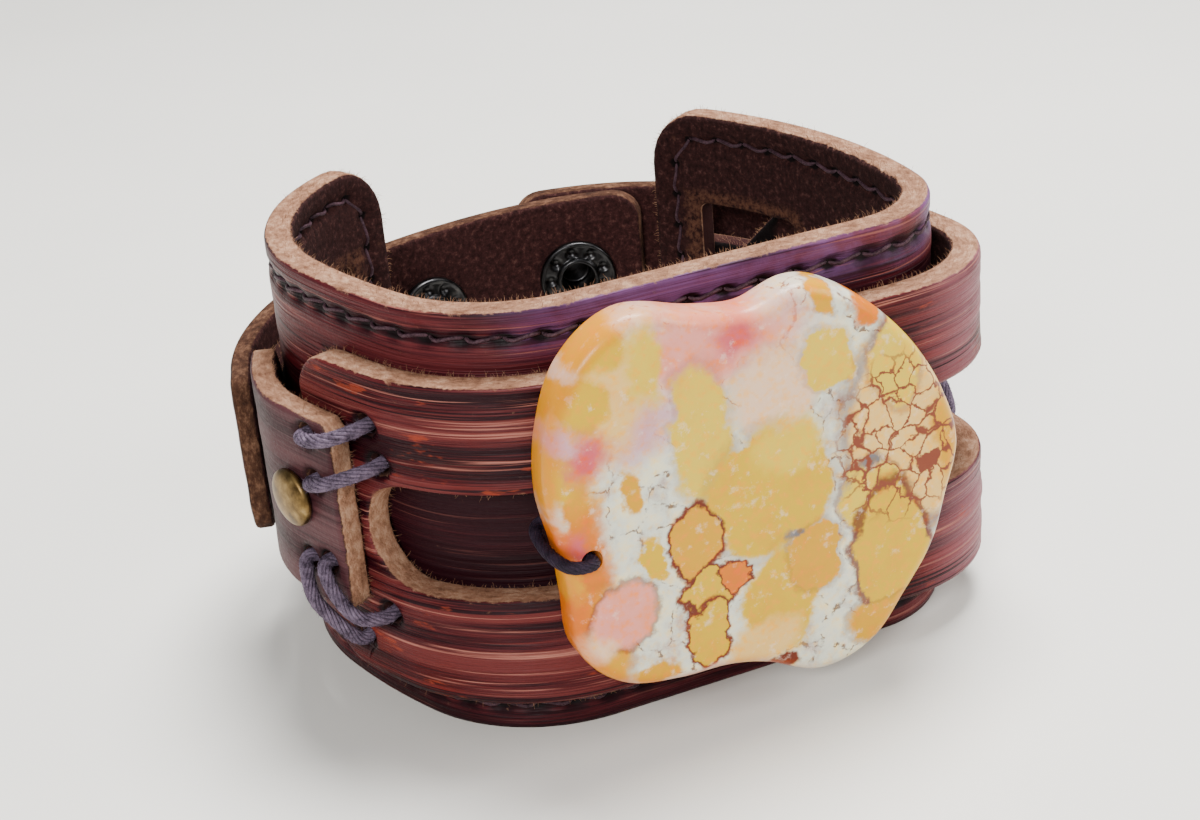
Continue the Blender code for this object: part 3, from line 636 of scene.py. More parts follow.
# The lilac patch along the cuff's upper front is a painted sheen, and the band seen through the window gets
# painted shade.
cuff_leather = leather_finish("waxed cuff leather", CUFF_FACE, DARK_NAP, TAN_EDGE, (0.40, 0.12, 0.16),
                              streaks=0.75, painted_sheen=((0.13, 0.055, 0.15), -0.022, -0.006, 0.0435, 0.0470),
                              painted_shade_band=PAINTED_WINDOW_SHADE)
add_piece("cuff_band", bm, cuff_leather, "base_leather", "base_cuff")


# The overlay
# A narrower band of the same thick leather, laid round the front of the cuff. A long window with
# round ends is cut between its upper and lower branches, and its face is scored more deeply.
OVERLAY_THICKNESS = 0.0033
OVERLAY_HEIGHT = 0.0378
OVERLAY_BOTTOM = 0.0055
OVERLAY_CORNER = 0.0052
OVERLAY_SCORING = (0.00020, 430)
OVERLAY_FACETS = (0.0009, 0.0004)
WINDOW_HEIGHT = 0.0125
WINDOW_BOTTOM = 0.0185
WINDOW_FROM_END = 0.0090
BULGE = 0.0018
BULGE_CENTRE = 0.0377
BULGE_REACH = 0.0133
TONGUE_BOTTOM = 0.0150
TONGUE_HEIGHT = 0.0228
TONGUE_LAP = 0.0085
LACE_HOLE = 0.0024
# How far from a lace hole's middle the leather is pulled in fully, and at all, and how deep
PULL_START = 0.0010
PULL_REACH = 0.0021
PULL_DEPTH = 0.00035
# Each lace strand goes from a hole in the tongue, so far behind the tongue's front edge, to a hole in
# the overlay, so far ahead of it. Heights are shares of the tongue's height.
LACE_ROWS = (
    (0.0039, 0.90, 0.0020, 0.97),
    (0.0036, 0.66, 0.0031, 0.78),
    (0.0032, 0.23, 0.0020, -0.03),
    (0.0064, 0.20, -0.0026, -0.22),
)


def overlay_face(along):
    """How far the overlay's inner face stands off the cuff: it bulges round the right corner."""
    return GAP + BULGE * ease(1 - abs(along - BULGE_CENTRE) / BULGE_REACH)


def lace_holes(side):
    """For each lace strand, its hole in the tongue and its hole in the overlay: along and height"""
    edge = OVERLAY_END[side] - TONGUE_LAP
    rows = []
    for behind, tongue_share, ahead, overlay_share in LACE_ROWS:
        in_tongue = (SIDE[side] * (edge + behind), TONGUE_BOTTOM + tongue_share * TONGUE_HEIGHT)
        in_overlay = (SIDE[side] * (edge - ahead), TONGUE_BOTTOM + overlay_share * TONGUE_HEIGHT)
        rows.append((in_tongue, in_overlay))
    return rows


def holes_in_painted_shade(relief, holes):
    """The same relief, with the leather pulled in a little at each hole and painted dark there as shade"""
    def marked(along, height, share):
        pressed, level = relief(along, height, share)
        near = min(hypot(along - a, height - h) for a, h in holes)
        if near < PULL_REACH:
            mark = ease((PULL_REACH - near) / (PULL_REACH - PULL_START))
            pressed -= PULL_DEPTH * mark * on_face(share)
            # Painted shade round each hole.
            level -= 2.4 * mark
        return pressed, level
    return marked


overlay_left, overlay_right = -OVERLAY_END["left"], OVERLAY_END["right"]
overlay_top = OVERLAY_BOTTOM + OVERLAY_HEIGHT
overlay_outline = rounded(overlay_left, overlay_right, OVERLAY_BOTTOM, overlay_top, (OVERLAY_CORNER,) * 4)
window = rounded(overlay_left + WINDOW_FROM_END, overlay_right - WINDOW_FROM_END, WINDOW_BOTTOM,
                 WINDOW_BOTTOM + WINDOW_HEIGHT, (WINDOW_HEIGHT / 2 - TIGHT * 100,) * 4, steps=9)
in_overlay = [overlay_hole for side in SIDE for _, overlay_hole in lace_holes(side)]
overlay_holes = [round_hole(*hole, LACE_HOLE) for hole in in_overlay]
overlay_route = route_on_cuff(overlay_left, overlay_right, overlay_face)
bm = cut_flat(overlay_outline, [window, *rivet_holes.values(), *overlay_holes], OVERLAY_THICKNESS)
crease(bm, OVERLAY_FACETS[0], heights_between(OVERLAY_BOTTOM, overlay_top, OVERLAY_FACETS[1]))
bend(bm, overlay_route, OVERLAY_THICKNESS, holes_in_painted_shade(scored_relief(*OVERLAY_SCORING, 21), in_overlay))
OVERLAY_FACE = ((0.013, 0.001, 0.003), (0.056, 0.006, 0.008), (0.110, 0.019, 0.018), (0.33, 0.125, 0.094))
# The mauve patch on the overlay's right end is a painted sheen.
overlay_leather = leather_finish("waxed overlay leather", OVERLAY_FACE, DARK_NAP, TAN_EDGE,
                                 (0.55, 0.20, 0.12),
                                 painted_sheen=((0.27, 0.090, 0.110), 0.024, 0.038, 0.0, 0.004), flecks=0.6)
add_piece("overlay", bm, overlay_leather, "overlay_leather", "overlay_band")


# The tongues
# A tongue of smooth leather lies over each end of the overlay, which is laced to it. Behind the rivet
# it narrows to a tail, which runs back between the cuff and the closure strap.
TONGUE_THICKNESS = 0.0028
TONGUE_CORNER = 0.0012
TONGUE_SETTLE = 0.0150
TONGUE_SCORING = (0.00012, 160)
TONGUE_FACET = 0.0009
TAIL_HEIGHT = 0.012
TAIL_TOP = 0.032
TAIL_FROM_END = 0.003
STRAP_REACH = 0.0120


def tongue_face(along):
    """The tongue lies on the overlay, and past its end comes down to the cuff."""
    side = "right" if along > 0 else "left"
    end = OVERLAY_END[side]
    on_overlay = overlay_face(SIDE[side] * min(abs(along), end)) + OVERLAY_THICKNESS + GAP
    past = (abs(along) - end - GAP) / TONGUE_SETTLE
    return on_overlay + (GAP - on_overlay) * ease(past)


def tongue_outline(side):
    near = OVERLAY_END[side] - TONGUE_LAP
    tail = CUFF_END[side] - TAIL_FROM_END
    shoulder = OVERLAY_END[side] + STRAP_REACH
    narrow = shoulder + (TONGUE_HEIGHT - TAIL_HEIGHT) / 2
    top = TONGUE_BOTTOM + TONGUE_HEIGHT
    outline = [(near, TONGUE_BOTTOM + TONGUE_CORNER), (near + TONGUE_CORNER, TONGUE_BOTTOM)]
    outline += [(shoulder, TONGUE_BOTTOM), (narrow, TAIL_TOP - TAIL_HEIGHT), (tail, TAIL_TOP - TAIL_HEIGHT)]
    outline += [(tail, TAIL_TOP), (narrow, TAIL_TOP), (shoulder, top)]
    outline += [(near + TONGUE_CORNER, top), (near, top - TONGUE_CORNER)]
    return [(SIDE[side] * along, height) for along, height in outline]


def tail_in_painted_shade(relief, side):
    """The same relief, with the cut edges painted dark as shade where the tongue runs back under the strap
    """
    def marked(along, height, share):
        pressed, level = relief(along, height, share)
        under = ease((abs(along) - OVERLAY_END[side] - STRAP_REACH + 0.001) / 0.002)
        return pressed, level - 2.4 * under * (1 - on_face(share))
    return marked


TONGUE_FACE = ((0.022, 0.006, 0.008), (0.047, 0.015, 0.018), (0.074, 0.026, 0.029), (0.115, 0.050, 0.050))
tongue_leather = leather_finish("smooth tongue leather", TONGUE_FACE, DARK_NAP, TAN_EDGE, (0.4, 0.3, 0.35),
                                streaks=0.12, roughness=0.5)
tongue_routes = {}
for number, side in enumerate(SIDE):
    outline = tongue_outline(side)
    ends = sorted(along for along, _ in outline)
    in_tongue = [tongue_hole for tongue_hole, _ in lace_holes(side)]
    openings = [rivet_holes[side]] + [round_hole(*hole, LACE_HOLE) for hole in in_tongue]
    tongue_routes[side] = route_on_cuff(ends[0], ends[-1], tongue_face)
    bm = cut_flat(outline, openings, TONGUE_THICKNESS)
    heights = heights_between(TONGUE_BOTTOM, TONGUE_BOTTOM + TONGUE_HEIGHT, TONGUE_FACET)
    crease(bm, TONGUE_FACET, heights)
    relief = tail_in_painted_shade(holes_in_painted_shade(scored_relief(*TONGUE_SCORING, 31 + number), in_tongue), side)
    bend(bm, tongue_routes[side], TONGUE_THICKNESS, relief)
    add_piece(f"tongue_{side}", bm, tongue_leather, "tab_leather", f"tab_{side}")


# The closure strap
# Two thinner straps start on the tongues, go round the ends of the cuff and cross at the back, where
# a snap holds them together. They are dark and napped inside, and their cut edges are dark too.
STRAP_THICKNESS = 0.0023
STRAP_HEIGHT = 0.021
STRAP_BOTTOM = 0.0155
STRAP_DROP = 0.0018
STRAP_CORNER = 0.0035
STRAP_SCORING = (0.00010, 200)
STRAP_FACET = 0.0011
STRAP_FRONT_CORNERS = (0.0050, 0.0012)
STRAP_FLARE = 0.0004
STRAP_FLARE_LENGTH = 0.0160
STRAP_SHORT_OF_END = 0.0058
STRAP_LAP = 0.0193
STRAP_STEP = 0.0006
SNAP_TUBE = 0.0056
SNAP_HEAD = 0.0064
SNAP_WALL = 0.0008
SNAP_FROM_END = 0.0088
SNAP_PITCH = 0.0208


def strap_face(along):
    """The strap lies on the tongue, and its front end stands a little off it."""
    side = "right" if along > 0 else "left"
    flare = 1 - (abs(along) - OVERLAY_END[side] - STRAP_REACH) / STRAP_FLARE_LENGTH
    return tongue_face(along) + TONGUE_THICKNESS + GAP + STRAP_FLARE * ease(flare)


def strap_on_tongue(side, lift):
    """Points of a strap's inner face from its front end to the end of the cuff, rising by a lift"""
    start = OVERLAY_END[side] + STRAP_REACH
    count = round((CUFF_END[side] - start) / STRAP_STEP)
    points = []
    for k in range(count):
        along = SIDE[side] * (start + (CUFF_END[side] - start) * k / count)
        point, outward = plan_point(along, CUFF_WIDTH)
        points.append(point + outward * (strap_face(along) + lift * ease(k / count)))
    return points


def strap_across():
    """Points of the closure's inner face across the back, from the cuff's left end to its right"""
    ends = []
    for side in ("left", "right"):
        along = SIDE[side] * CUFF_END[side]
        point, outward = plan_point(along, CUFF_WIDTH)
        ends.append((point + outward * strap_face(along), Vector((outward.y, -outward.x, 0))))
    (start, leave), (finish, arrive) = ends
    pull = (finish - start).length
    count = round(1.1 * pull / STRAP_STEP)
    points = []
    for k in range(count + 1):
        t = k / count
        points.append(start * (2 * t**3 - 3 * t**2 + 1) + leave * pull * (t**3 - 2 * t**2 + t)
                      + finish * (3 * t**2 - 2 * t**3) + arrive * pull * (t**3 - t**2))
    return points


def shortened(points, cut):
    """A row of points without the last stretch of that length"""
    while cut > (points[-1] - points[-2]).length:
        cut -= (points[-1] - points[-2]).length
        points = points[:-1]
    return points


def route_by_length(points):
    """The route along a row of points, named by the length along them"""
    middle = Vector((sum(point.x for point in points) / len(points), 0.4 * CUFF_WIDTH, 0))
    rows = []
    length = 0.0
    for k, point in enumerate(points):
        length += (point - points[k - 1]).length if k else 0.0
        rows.append((length, front + point, point - middle))
    return Route(rows)


def snap_hole(along, height, diameter):
    return round_hole(along, height, diameter + 3 * GAP, sides=24)


def add_strap(name, route, openings, number):
    end = route.keys[-1]
    lower, upper = STRAP_FRONT_CORNERS
    radii = (lower, STRAP_CORNER, STRAP_CORNER, upper)
    top = STRAP_BOTTOM + STRAP_HEIGHT
    bm = cut_flat(rounded(0, end, STRAP_BOTTOM, top, radii), openings, STRAP_THICKNESS)
    crease(bm, STRAP_FACET, heights_between(STRAP_BOTTOM, top, STRAP_FACET))
    bend(bm, route, STRAP_THICKNESS, scored_relief(*STRAP_SCORING, 41 + number))
    return add_piece(f"closure_{name}", bm, strap_leather, "strap_leather", name)


STRAP_FACE = ((0.012, 0.002, 0.002), (0.036, 0.007, 0.006), (0.075, 0.019, 0.015), (0.17, 0.060, 0.042))
STRAP_NAP = ((0.014, 0.004, 0.004), (0.044, 0.014, 0.013), (0.135, 0.056, 0.046))
STRAP_EDGE = ((0.020, 0.008, 0.005), (0.070, 0.030, 0.017), (0.19, 0.095, 0.055))
strap_leather = leather_finish("dark strap leather", STRAP_FACE, STRAP_NAP, STRAP_EDGE,
                               (0.4, 0.2, 0.2), streaks=0.6)
snap_height = STRAP_BOTTOM + STRAP_HEIGHT / 2
left_points = strap_on_tongue("left", 0) + shortened(strap_across(), STRAP_SHORT_OF_END)
# The left strap hangs lower at its front end.
for k, point in enumerate(left_points):
    point.z = STRAP_DROP * (k / (len(left_points) - 1) - 1)
left_route = route_by_length(left_points)
snaps_along = [left_route.keys[-1] - SNAP_FROM_END - number * SNAP_PITCH for number in range(2)]
left_holes = [snap_hole(along, snap_height, SNAP_TUBE) for along in snaps_along]
add_strap("strap_left", left_route, left_holes, 0)

lift = STRAP_THICKNESS + GAP
across = list(reversed(strap_across()))
inner_route = route_by_length(across)
# The right strap lies over the left one.
lifted = [point + way * lift for point, way in zip(across, inner_route.across)]
right_points = strap_on_tongue("right", lift) + shortened(lifted, STRAP_SHORT_OF_END + STRAP_LAP)
right_route = route_by_length(right_points)
snap_point, snap_way = left_route.at(snaps_along[0])
over_snap = snap_point + snap_way * lift
cap_along = min(right_route.keys, key=lambda along: (right_route.at(along)[0] - over_snap).xy.length)
cap_hole = snap_hole(cap_along, snap_height + snap_point.z, SNAP_HEAD + 2 * GAP + 2 * SNAP_WALL)
add_strap("strap_right", right_route, [cap_hole], 1)


# Rivets
# A domed rivet of antique brass goes through tongue, overlay and cuff on each side, and a flat washer
# closes it inside the cuff.
RIVET_HEAD = 0.0066
RIVET_RISE = 0.0014
RIVET_BACK = 0.0056
RIVET_BACK_THICKNESS = 0.0007


def stand(bm, point, outward):
    """Turns a shape that points up to point outward, at its place"""
    bmesh.ops.transform(bm, matrix=Matrix.Translation(point) @ facing(outward), verts=bm.verts[:])


def turned(profile, point, outward, steps):
    """Turns a profile, whose rows are radius and distance outward, about the outward direction"""
    bm = bmesh.new()
    corners = [bm.verts.new((radius, 0, out)) for radius, out in profile]
    for near, far in zip(corners, corners[1:]):
        bm.edges.new((near, far))
    bmesh.ops.spin(bm, geom=bm.verts[:] + bm.edges[:], cent=(0, 0, 0), axis=(0, 0, 1), angle=2 * pi,
                   steps=steps, use_merge=True)
    bmesh.ops.remove_doubles(bm, verts=bm.verts[:], dist=TIGHT * 10)
    bmesh.ops.dissolve_degenerate(bm, edges=bm.edges[:], dist=TIGHT * 10)
    bmesh.ops.recalc_face_normals(bm, faces=bm.faces[:])
    stand(bm, point, outward)
    return bm


def dome(radius, bottom, rise, steps=8):
    """Rows from the rolled rim of a low dome up to its middle"""
    rim = 0.35 * rise
    rows = [(radius - 0.25 * rim, bottom), (radius, bottom + 0.3 * rim), (radius, bottom + 0.8 * rim)]
    for k in range(1, steps + 1):
        turn = pi / 2 * k / steps
        rows.append((radius * cos(turn), bottom + rim + (rise - rim) * sin(turn)))
    rows[-1] = (0, bottom + rise)
    return rows


def metal_finish(name, colours, roughness, wear):
    """Dull metal whose colour and polish change in small patches"""
    finish, tree, shader = new_finish(name)
    place = object_place(tree)
    patches = grain_noise(tree, place, 700, detail=5)
    scratches = grain_noise(tree, place, 3000, detail=2)
    colour = ramp(tree, patches, (0.35, colours[0]), (0.55, colours[1]), (0.7, colours[2]))
    tree.links.new(colour, shader.inputs["Base Color"])
    dulled = maths(tree, "MULTIPLY_ADD", patches, wear, roughness - wear / 2)
    tree.links.new(dulled, shader.inputs["Roughness"])
    roughen(tree, shader, scratches, 0.00002, 0.5)
    shader.inputs["Metallic"].default_value = 1.0
    return finish


BRASS_TONES = ((0.080, 0.048, 0.017), (0.190, 0.120, 0.044), (0.30, 0.205, 0.085))
brass = metal_finish("antique brass", BRASS_TONES, 0.42, 0.25)
for side in SIDE:
    along = rivet_at(side)
    point, outward = plan_point(along, CUFF_WIDTH)
    seat = tongue_face(along) + TONGUE_THICKNESS + GAP
    under = -CUFF_THICKNESS - GAP
    post = RIVET_POST / 2
    rim = RIVET_BACK / 2
    profile = [(0, under - RIVET_BACK_THICKNESS), (rim * 0.9, under - RIVET_BACK_THICKNESS),
               (rim, under - RIVET_BACK_THICKNESS * 0.6), (rim, under), (post, under), (post, seat)]
    profile += dome(RIVET_HEAD / 2, seat, RIVET_RISE)
    bm = turned(profile, front + point + Vector((0, 0, RIVET_HEIGHT)), outward, 40)
    add_piece(f"brass_rivet_{side}", bm, brass, "brass", f"rivet_{side}")


# Snap fasteners
# Two line snaps of dark gunmetal on the left strap, each with a pressed ring inside and a stud
# outside, and on the right strap the cap and socket that hold the first stud.
SNAP_RING = 0.010
SNAP_RING_THICKNESS = 0.0009
SNAP_BORE = 0.0042
BORE_CORNER = 0.0002
SNAP_CAP = 0.0120
SNAP_CAP_RISE = 0.0016
SNAP_SEAT = 0.0007
SNAP_NECK = 0.0004
SNAP_HEAD_RISE = 0.0018
SNAP_DIMPLES = 9
DIMPLE_DEPTH = 0.00045
DIMPLE_SIZE = 0.00062
SNAP_SIDES = 108
SNAP_DISH = 0.00024
SNAP_RIM_WIDTH = 0.0006
SNAP_LIP_WIDTH = 0.0007
# The ring's lip and its outer rim: how far out from the bore, or from the ring's edge, and how far
# from the ring's top
SNAP_LIP = ((0, 0.0003), (0.00010, -0.00005), (0.00030, -0.00018), (0.00052, -0.00008), (0.00068, 0.00018))
SNAP_RIM = ((-0.00045, 0.00005), (-0.00025, 0), (-0.00008, 0.0001), (0, 0.0004))

GUNMETAL_TONES = ((0.026, 0.025, 0.026), (0.040, 0.039, 0.040), (0.065, 0.062, 0.060))
gunmetal = metal_finish("gunmetal", GUNMETAL_TONES, 0.33, 0.15)
for number, along in enumerate(snaps_along, 1):
    point, outward = left_route.at(along)
    top = -SNAP_SEAT - SNAP_RING_THICKNESS
    ring = SNAP_RING / 2
    bore = SNAP_BORE / 2
    head = STRAP_THICKNESS + GAP
    profile = [(0, head), (bore - 2 * BORE_CORNER, head), (bore - BORE_CORNER, head),
               (bore, head - BORE_CORNER), (bore, head - 2 * BORE_CORNER)]
    profile += [(bore + out, top + rise) for out, rise in SNAP_LIP]
    dish_width = ring - SNAP_RIM_WIDTH - bore - SNAP_LIP_WIDTH
    dished = [ring - SNAP_RIM_WIDTH - dish_width * k / 8 for k in range(8, -1, -1)]
    profile += [(radius, top + SNAP_DISH) for radius in dished]
    profile += [(ring + out, top + rise) for out, rise in SNAP_RIM]
    profile += [(ring, -SNAP_SEAT), (SNAP_TUBE / 2, -SNAP_SEAT),
                (SNAP_TUBE / 2, head + SNAP_NECK), (SNAP_HEAD / 2 - 0.0001, head + 1.5 * SNAP_NECK),
                (SNAP_HEAD / 2, head + 2 * SNAP_NECK),
                (SNAP_HEAD / 2 - SNAP_NECK, head + SNAP_HEAD_RISE - 0.0001),
                (SNAP_HEAD / 2 - 1.4 * SNAP_NECK, head + SNAP_HEAD_RISE), (0, head + SNAP_HEAD_RISE)]
    bm = turned(profile, Vector(), Vector((0, 0, 1)), SNAP_SIDES)
    middle_radius = (dished[0] + dished[-1]) / 2
    for vert in bm.verts:
        if dished[0] - TIGHT < vert.co.xy.length < dished[-1] + TIGHT and vert.co.z < 0:
            step = 2 * pi / SNAP_DIMPLES
            turn = round(atan2(vert.co.y, vert.co.x) / step) * step
            away = (vert.co.xy - Vector((cos(turn), sin(turn))) * middle_radius).length
            vert.co.z += DIMPLE_DEPTH * exp(-(away / DIMPLE_SIZE) ** 4)
    stand(bm, point + Vector((0, 0, snap_height)), outward)
    add_piece(f"snap_{number}", bm, gunmetal, "gunmetal", f"snap_stud_{number}")

top = 2 * (STRAP_THICKNESS + GAP)
inner = SNAP_HEAD / 2 + GAP
outer = inner + SNAP_WALL
profile = [(0, top), (inner, top), (inner, lift), (outer, lift), (outer, top)]
profile += dome(SNAP_CAP / 2, top, SNAP_CAP_RISE, steps=12)
bm = turned(profile, snap_point + Vector((0, 0, snap_height)), snap_way, 64)
add_piece("snap_cap_piece", bm, gunmetal, "gunmetal", "snap_cap")


# Fuzz on the cut edges
# Fine fibres stand out of every raw cut edge: they lean outward and over the leather's inner side.
FIBRE = 0.00005
FIBRE_LENGTH = 0.00055
FIBRE_PITCH = 0.00011
# Shares of the leather's thickness between which the fibres stand
FIBRE_LOWEST = 0.06
FIBRE_HIGHEST = 0.85


def fuzz_on(route, outline, thickness, hole, seed):
    """Fibres on the edge of a bent piece, round an outline or, where hole is -1, round an opening"""
    random = Random(seed)
    fibres = []
    starts = walk(outline, FIBRE_PITCH)
    for number, (along, height) in enumerate(starts):
        ahead_along, ahead_height = starts[(number + 1) % len(starts)]
        length = max(hypot(ahead_along - along, ahead_height - height), TIGHT)
        square = hole * (ahead_height - height) / length, -hole * (ahead_along - along) / length
        share = FIBRE_LOWEST + (FIBRE_HIGHEST - FIBRE_LOWEST) * random.random() ** 1.5
        reach = FIBRE_LENGTH * (0.35 + 0.9 * random.random() ** 2)
        lean = random.uniform(-0.7, 0.7)
        inward = (0.5 - share) * 1.6 + random.uniform(-0.5, 0.5)
        fibre = []
        for step in range(3):
            part = step / 2
            out = reach * (part - 0.12)
            bow = reach * lean * part * part
            fibre.append(route.place(along + square[0] * out - square[1] * bow,
                                     thickness * share - inward * reach * part * part,
                                     height + square[1] * out + square[0] * bow))
        fibres.append(fibre)
    return fibres


def add_threads(name, strands, diameter, finish, slot, *nodes, taper=1.0):
    """One curve object of many fine threads"""
    curve = bpy.data.curves.new(name, "CURVE")
    curve.dimensions = "3D"
    curve.bevel_depth = diameter / 2
    curve.bevel_resolution = 1 if taper == 1 else 0
    curve.use_fill_caps = True
    for strand in strands:
        spline = curve.splines.new("POLY")
        spline.points.add(len(strand) - 1)
        for k, (knot, point) in enumerate(zip(spline.points, strand)):
            knot.co = (*point, 1)
            knot.radius = 1 - (1 - taper) * k / (len(strand) - 1)
        spline.use_smooth = True
    piece = bpy.data.objects.new(name, curve)
    bpy.context.scene.collection.objects.link(piece)
    return fit_on(piece, finish, nodes)


def thread_finish(name, dark, light, roughness):
    """Fibrous thread, whose colour runs from dark to light in fine streaks and patches"""
    finish, tree, shader = new_finish(name)
    place = object_place(tree)
    fibres = grain_noise(tree, place, 4500, detail=3)
    patches = grain_noise(tree, place, 900, detail=2)
    value = maths(tree, "MULTIPLY_ADD", patches, 0.5, times(tree, fibres, 0.5))
    tree.links.new(ramp(tree, value, (0.35, dark), (0.68, light)), shader.inputs["Base Color"])
    roughen(tree, shader, fibres, 0.00012, 0.9)
    shader.inputs["Roughness"].default_value = roughness
    shader.inputs["Specular IOR Level"].default_value = 0.15
    return finish


fibre_finish = thread_finish("leather fibre", (0.17, 0.075, 0.040), (0.42, 0.235, 0.140), 0.9)
fibres = fuzz_on(cuff_route, cuff_outline, CUFF_THICKNESS, 1, 1)
add_threads("cuff_fuzz", fibres, FIBRE, fibre_finish, "base_leather", taper=0.3)
fibres = fuzz_on(overlay_route, overlay_outline, OVERLAY_THICKNESS, 1, 2)
fibres += fuzz_on(overlay_route, window, OVERLAY_THICKNESS, -1, 3)
add_threads("overlay_fuzz", fibres, FIBRE, fibre_finish, "overlay_leather", taper=0.3)
for side, sign in SIDE.items():
    fibres = fuzz_on(tongue_routes[side], tongue_outline(side), TONGUE_THICKNESS, sign, 4)
    add_threads(f"tongue_fuzz_{side}", fibres, FIBRE, fibre_finish, "tab_leather", taper=0.3)


# Laces and stitching
# Waxed thread, purple-grey where it is thick. Each lace is a bundle of fine threads that ties a tongue
# to the overlay. The cuff is saddle-stitched all the way round, and its dark thread dips into holes.
LACE = 0.0016
LACE_THREADS = 9
LACE_TWIST = 0.009
STRAYS = 220
THREAD = 0.00044
STITCH_THREAD = 0.00044
STITCH_SLANT = 0.00022
STITCH_SHARES = (0.02, 0.08, 0.16, 0.3, 0.5, 0.7, 0.84, 0.92, 0.98)
LINE_STEP = 0.0003


def on_curve(a, b, c, d, t):
    """A share t of the way from b to c, on the smooth curve through all four"""
    return 0.5 * (2 * b + (c - a) * t + (2 * a - 5 * b + 4 * c - d) * t**2 + (3 * b - a - 3 * c + d) * t**3)


def smooth_line(points, spacing):
    """Points along a smooth curve through the given ones"""
    padded = [2 * points[0] - points[1]] + points + [2 * points[-1] - points[-2]]
    line = [points[0]]
    for k in range(1, len(padded) - 2):
        a, b, c, d = padded[k - 1:k + 3]
        count = max(1, round((c - b).length / spacing))
        line += [on_curve(a, b, c, d, step / count) for step in range(1, count + 1)]
    return line


def thread_bundle(line, diameter, threads, thread, pitch):
    """Threads that lie round a line and twist along it, one turn in each pitch"""
    ways = [(line[min(k + 1, len(line) - 1)] - line[max(k - 1, 0)]).normalized() for k in range(len(line))]
    side = ways[0].orthogonal()
    strands = [[] for _ in range(threads)]
    length = 0.0
    for k, point in enumerate(line):
        length += (point - line[k - 1]).length if k else 0.0
        side = (side - ways[k] * side.dot(ways[k])).normalized()
        other = ways[k].cross(side)
        for number, strand in enumerate(strands):
            turn = 2 * pi * (number / threads + length / pitch)
            strand.append(point + (side * cos(turn) + other * sin(turn)) * (diameter - thread) / 2)
    return strands


def stray_fibres(line, diameter, count, seed):
    """Short fibres that stand out of a thread bundle in all directions"""
    random = Random(seed)
    fibres = []
    for _ in range(count):
        k = random.randrange(1, len(line) - 1)
        ahead = (line[k + 1] - line[k]).normalized()
        way = ahead.orthogonal().normalized()
        way.rotate(Matrix.Rotation(random.uniform(0, 2 * pi), 3, ahead))
        start = line[k] + way * diameter * 0.42
        reach = FIBRE_LENGTH * random.uniform(0.3, 1.0)
        slant = ahead * random.uniform(-1.2, 1.2)
        fibres.append([start, start + (way + slant).normalized() * reach * 0.5,
                       start + (way + slant * 1.6).normalized() * reach])
    return fibres


lace_thread = thread_finish("waxed lace thread", (0.016, 0.009, 0.018), (0.190, 0.140, 0.200), 0.65)
over = LACE / 2 + GAP
strays = []
for side in SIDE:
    near = OVERLAY_END[side] - TONGUE_LAP
    for number, (in_tongue, in_overlay) in enumerate(lace_holes(side), 1):
        run_along = abs(in_tongue[0]) - abs(in_overlay[0])
        run_down = in_tongue[1] - in_overlay[1]
        crossings = [((abs(in_tongue[0]) - near) / run_along, over / run_along)]
        if run_down > 0:
            crossings.append(((in_tongue[1] - TONGUE_BOTTOM) / run_down, over / run_down))
        crossing, step = min(crossings)
        before, beyond = [
            [a + (b - a) * share for a, b in zip(in_tongue, in_overlay)]
            for share in (crossing - 1.2 * step, crossing + 0.95 * step)
        ]
        tongue_route = tongue_routes[side]
        points = [
            tongue_route.place(in_tongue[0], 0.4 * TONGUE_THICKNESS, in_tongue[1]),
            tongue_route.place(in_tongue[0], TONGUE_THICKNESS + 0.4 * over, in_tongue[1]),
            tongue_route.place(before[0], TONGUE_THICKNESS + 1.15 * over, before[1]),
            tongue_route.place(beyond[0], TONGUE_THICKNESS + 0.5 * over, beyond[1]),
            overlay_route.place(in_overlay[0], OVERLAY_THICKNESS + 0.9 * over, in_overlay[1]),
            overlay_route.place(in_overlay[0], 0.5 * OVERLAY_THICKNESS, in_overlay[1]),
        ]
        line = smooth_line(points, LINE_STEP)
        strands = thread_bundle(line, LACE, LACE_THREADS, THREAD, LACE_TWIST)
        add_threads(f"lace_threads_{side}_{number}", strands, THREAD, lace_thread, "cord",
                    f"lace_{side}_{number}")
        strays += stray_fibres(line[6:-4], LACE, STRAYS, number)

add_threads("lace_fuzz", strays, FIBRE, lace_thread, "cord", taper=0.3)

stitch_thread = thread_finish("dark stitching thread", (0.014, 0.005, 0.008), (0.095, 0.048, 0.062), 0.5)
stitches = []
for face, way in ((CUFF_THICKNESS, 1), (0, -1)):
    for hole, next_hole in zip(stitch_holes, stitch_holes[1:] + stitch_holes[:1]):
        (along, height), (far_along, far_height) = hole, next_hole
        stitch = []
        for share in STITCH_SHARES:
            sunk = GROOVE + HOLE_DEPTH * 1.8 * abs(2 * share - 1) ** 4 - STITCH_THREAD * 0.1
            slant = STITCH_SLANT * sin(2 * pi * share)
            place_along = along + (far_along - along) * share
            place_height = height + (far_height - height) * share
            if abs(far_along - along) > abs(far_height - height):
                place_height += slant
            else:
                place_along += slant
            stitch.append(cuff_route.place(place_along, face - way * sunk, place_height))
        stitches.append(stitch)
add_threads("cuff_stitches", stitches, STITCH_THREAD, stitch_thread, "cord")


# The stone and its cord
# A polished slab of patterned stone with a rounded, freely shaped edge, drilled near its left edge
# and held by a waxed cord that comes from behind, round the edge and through the hole.
STONE_SIZE = 0.048
STONE_THICKNESS = 0.0052
STONE_EDGE = 0.0018
STONE_CENTRE_X = 0.0054
STONE_CENTRE_Z = 0.0269
STONE_HOLE = 0.0024
STONE_HOLE_FROM_EDGE = 0.0029
STONE_SIDES = 240
STONE_CORD = 0.0014
STONE_CORD_TWIST = 0.007
STONE_WARP = 5.5
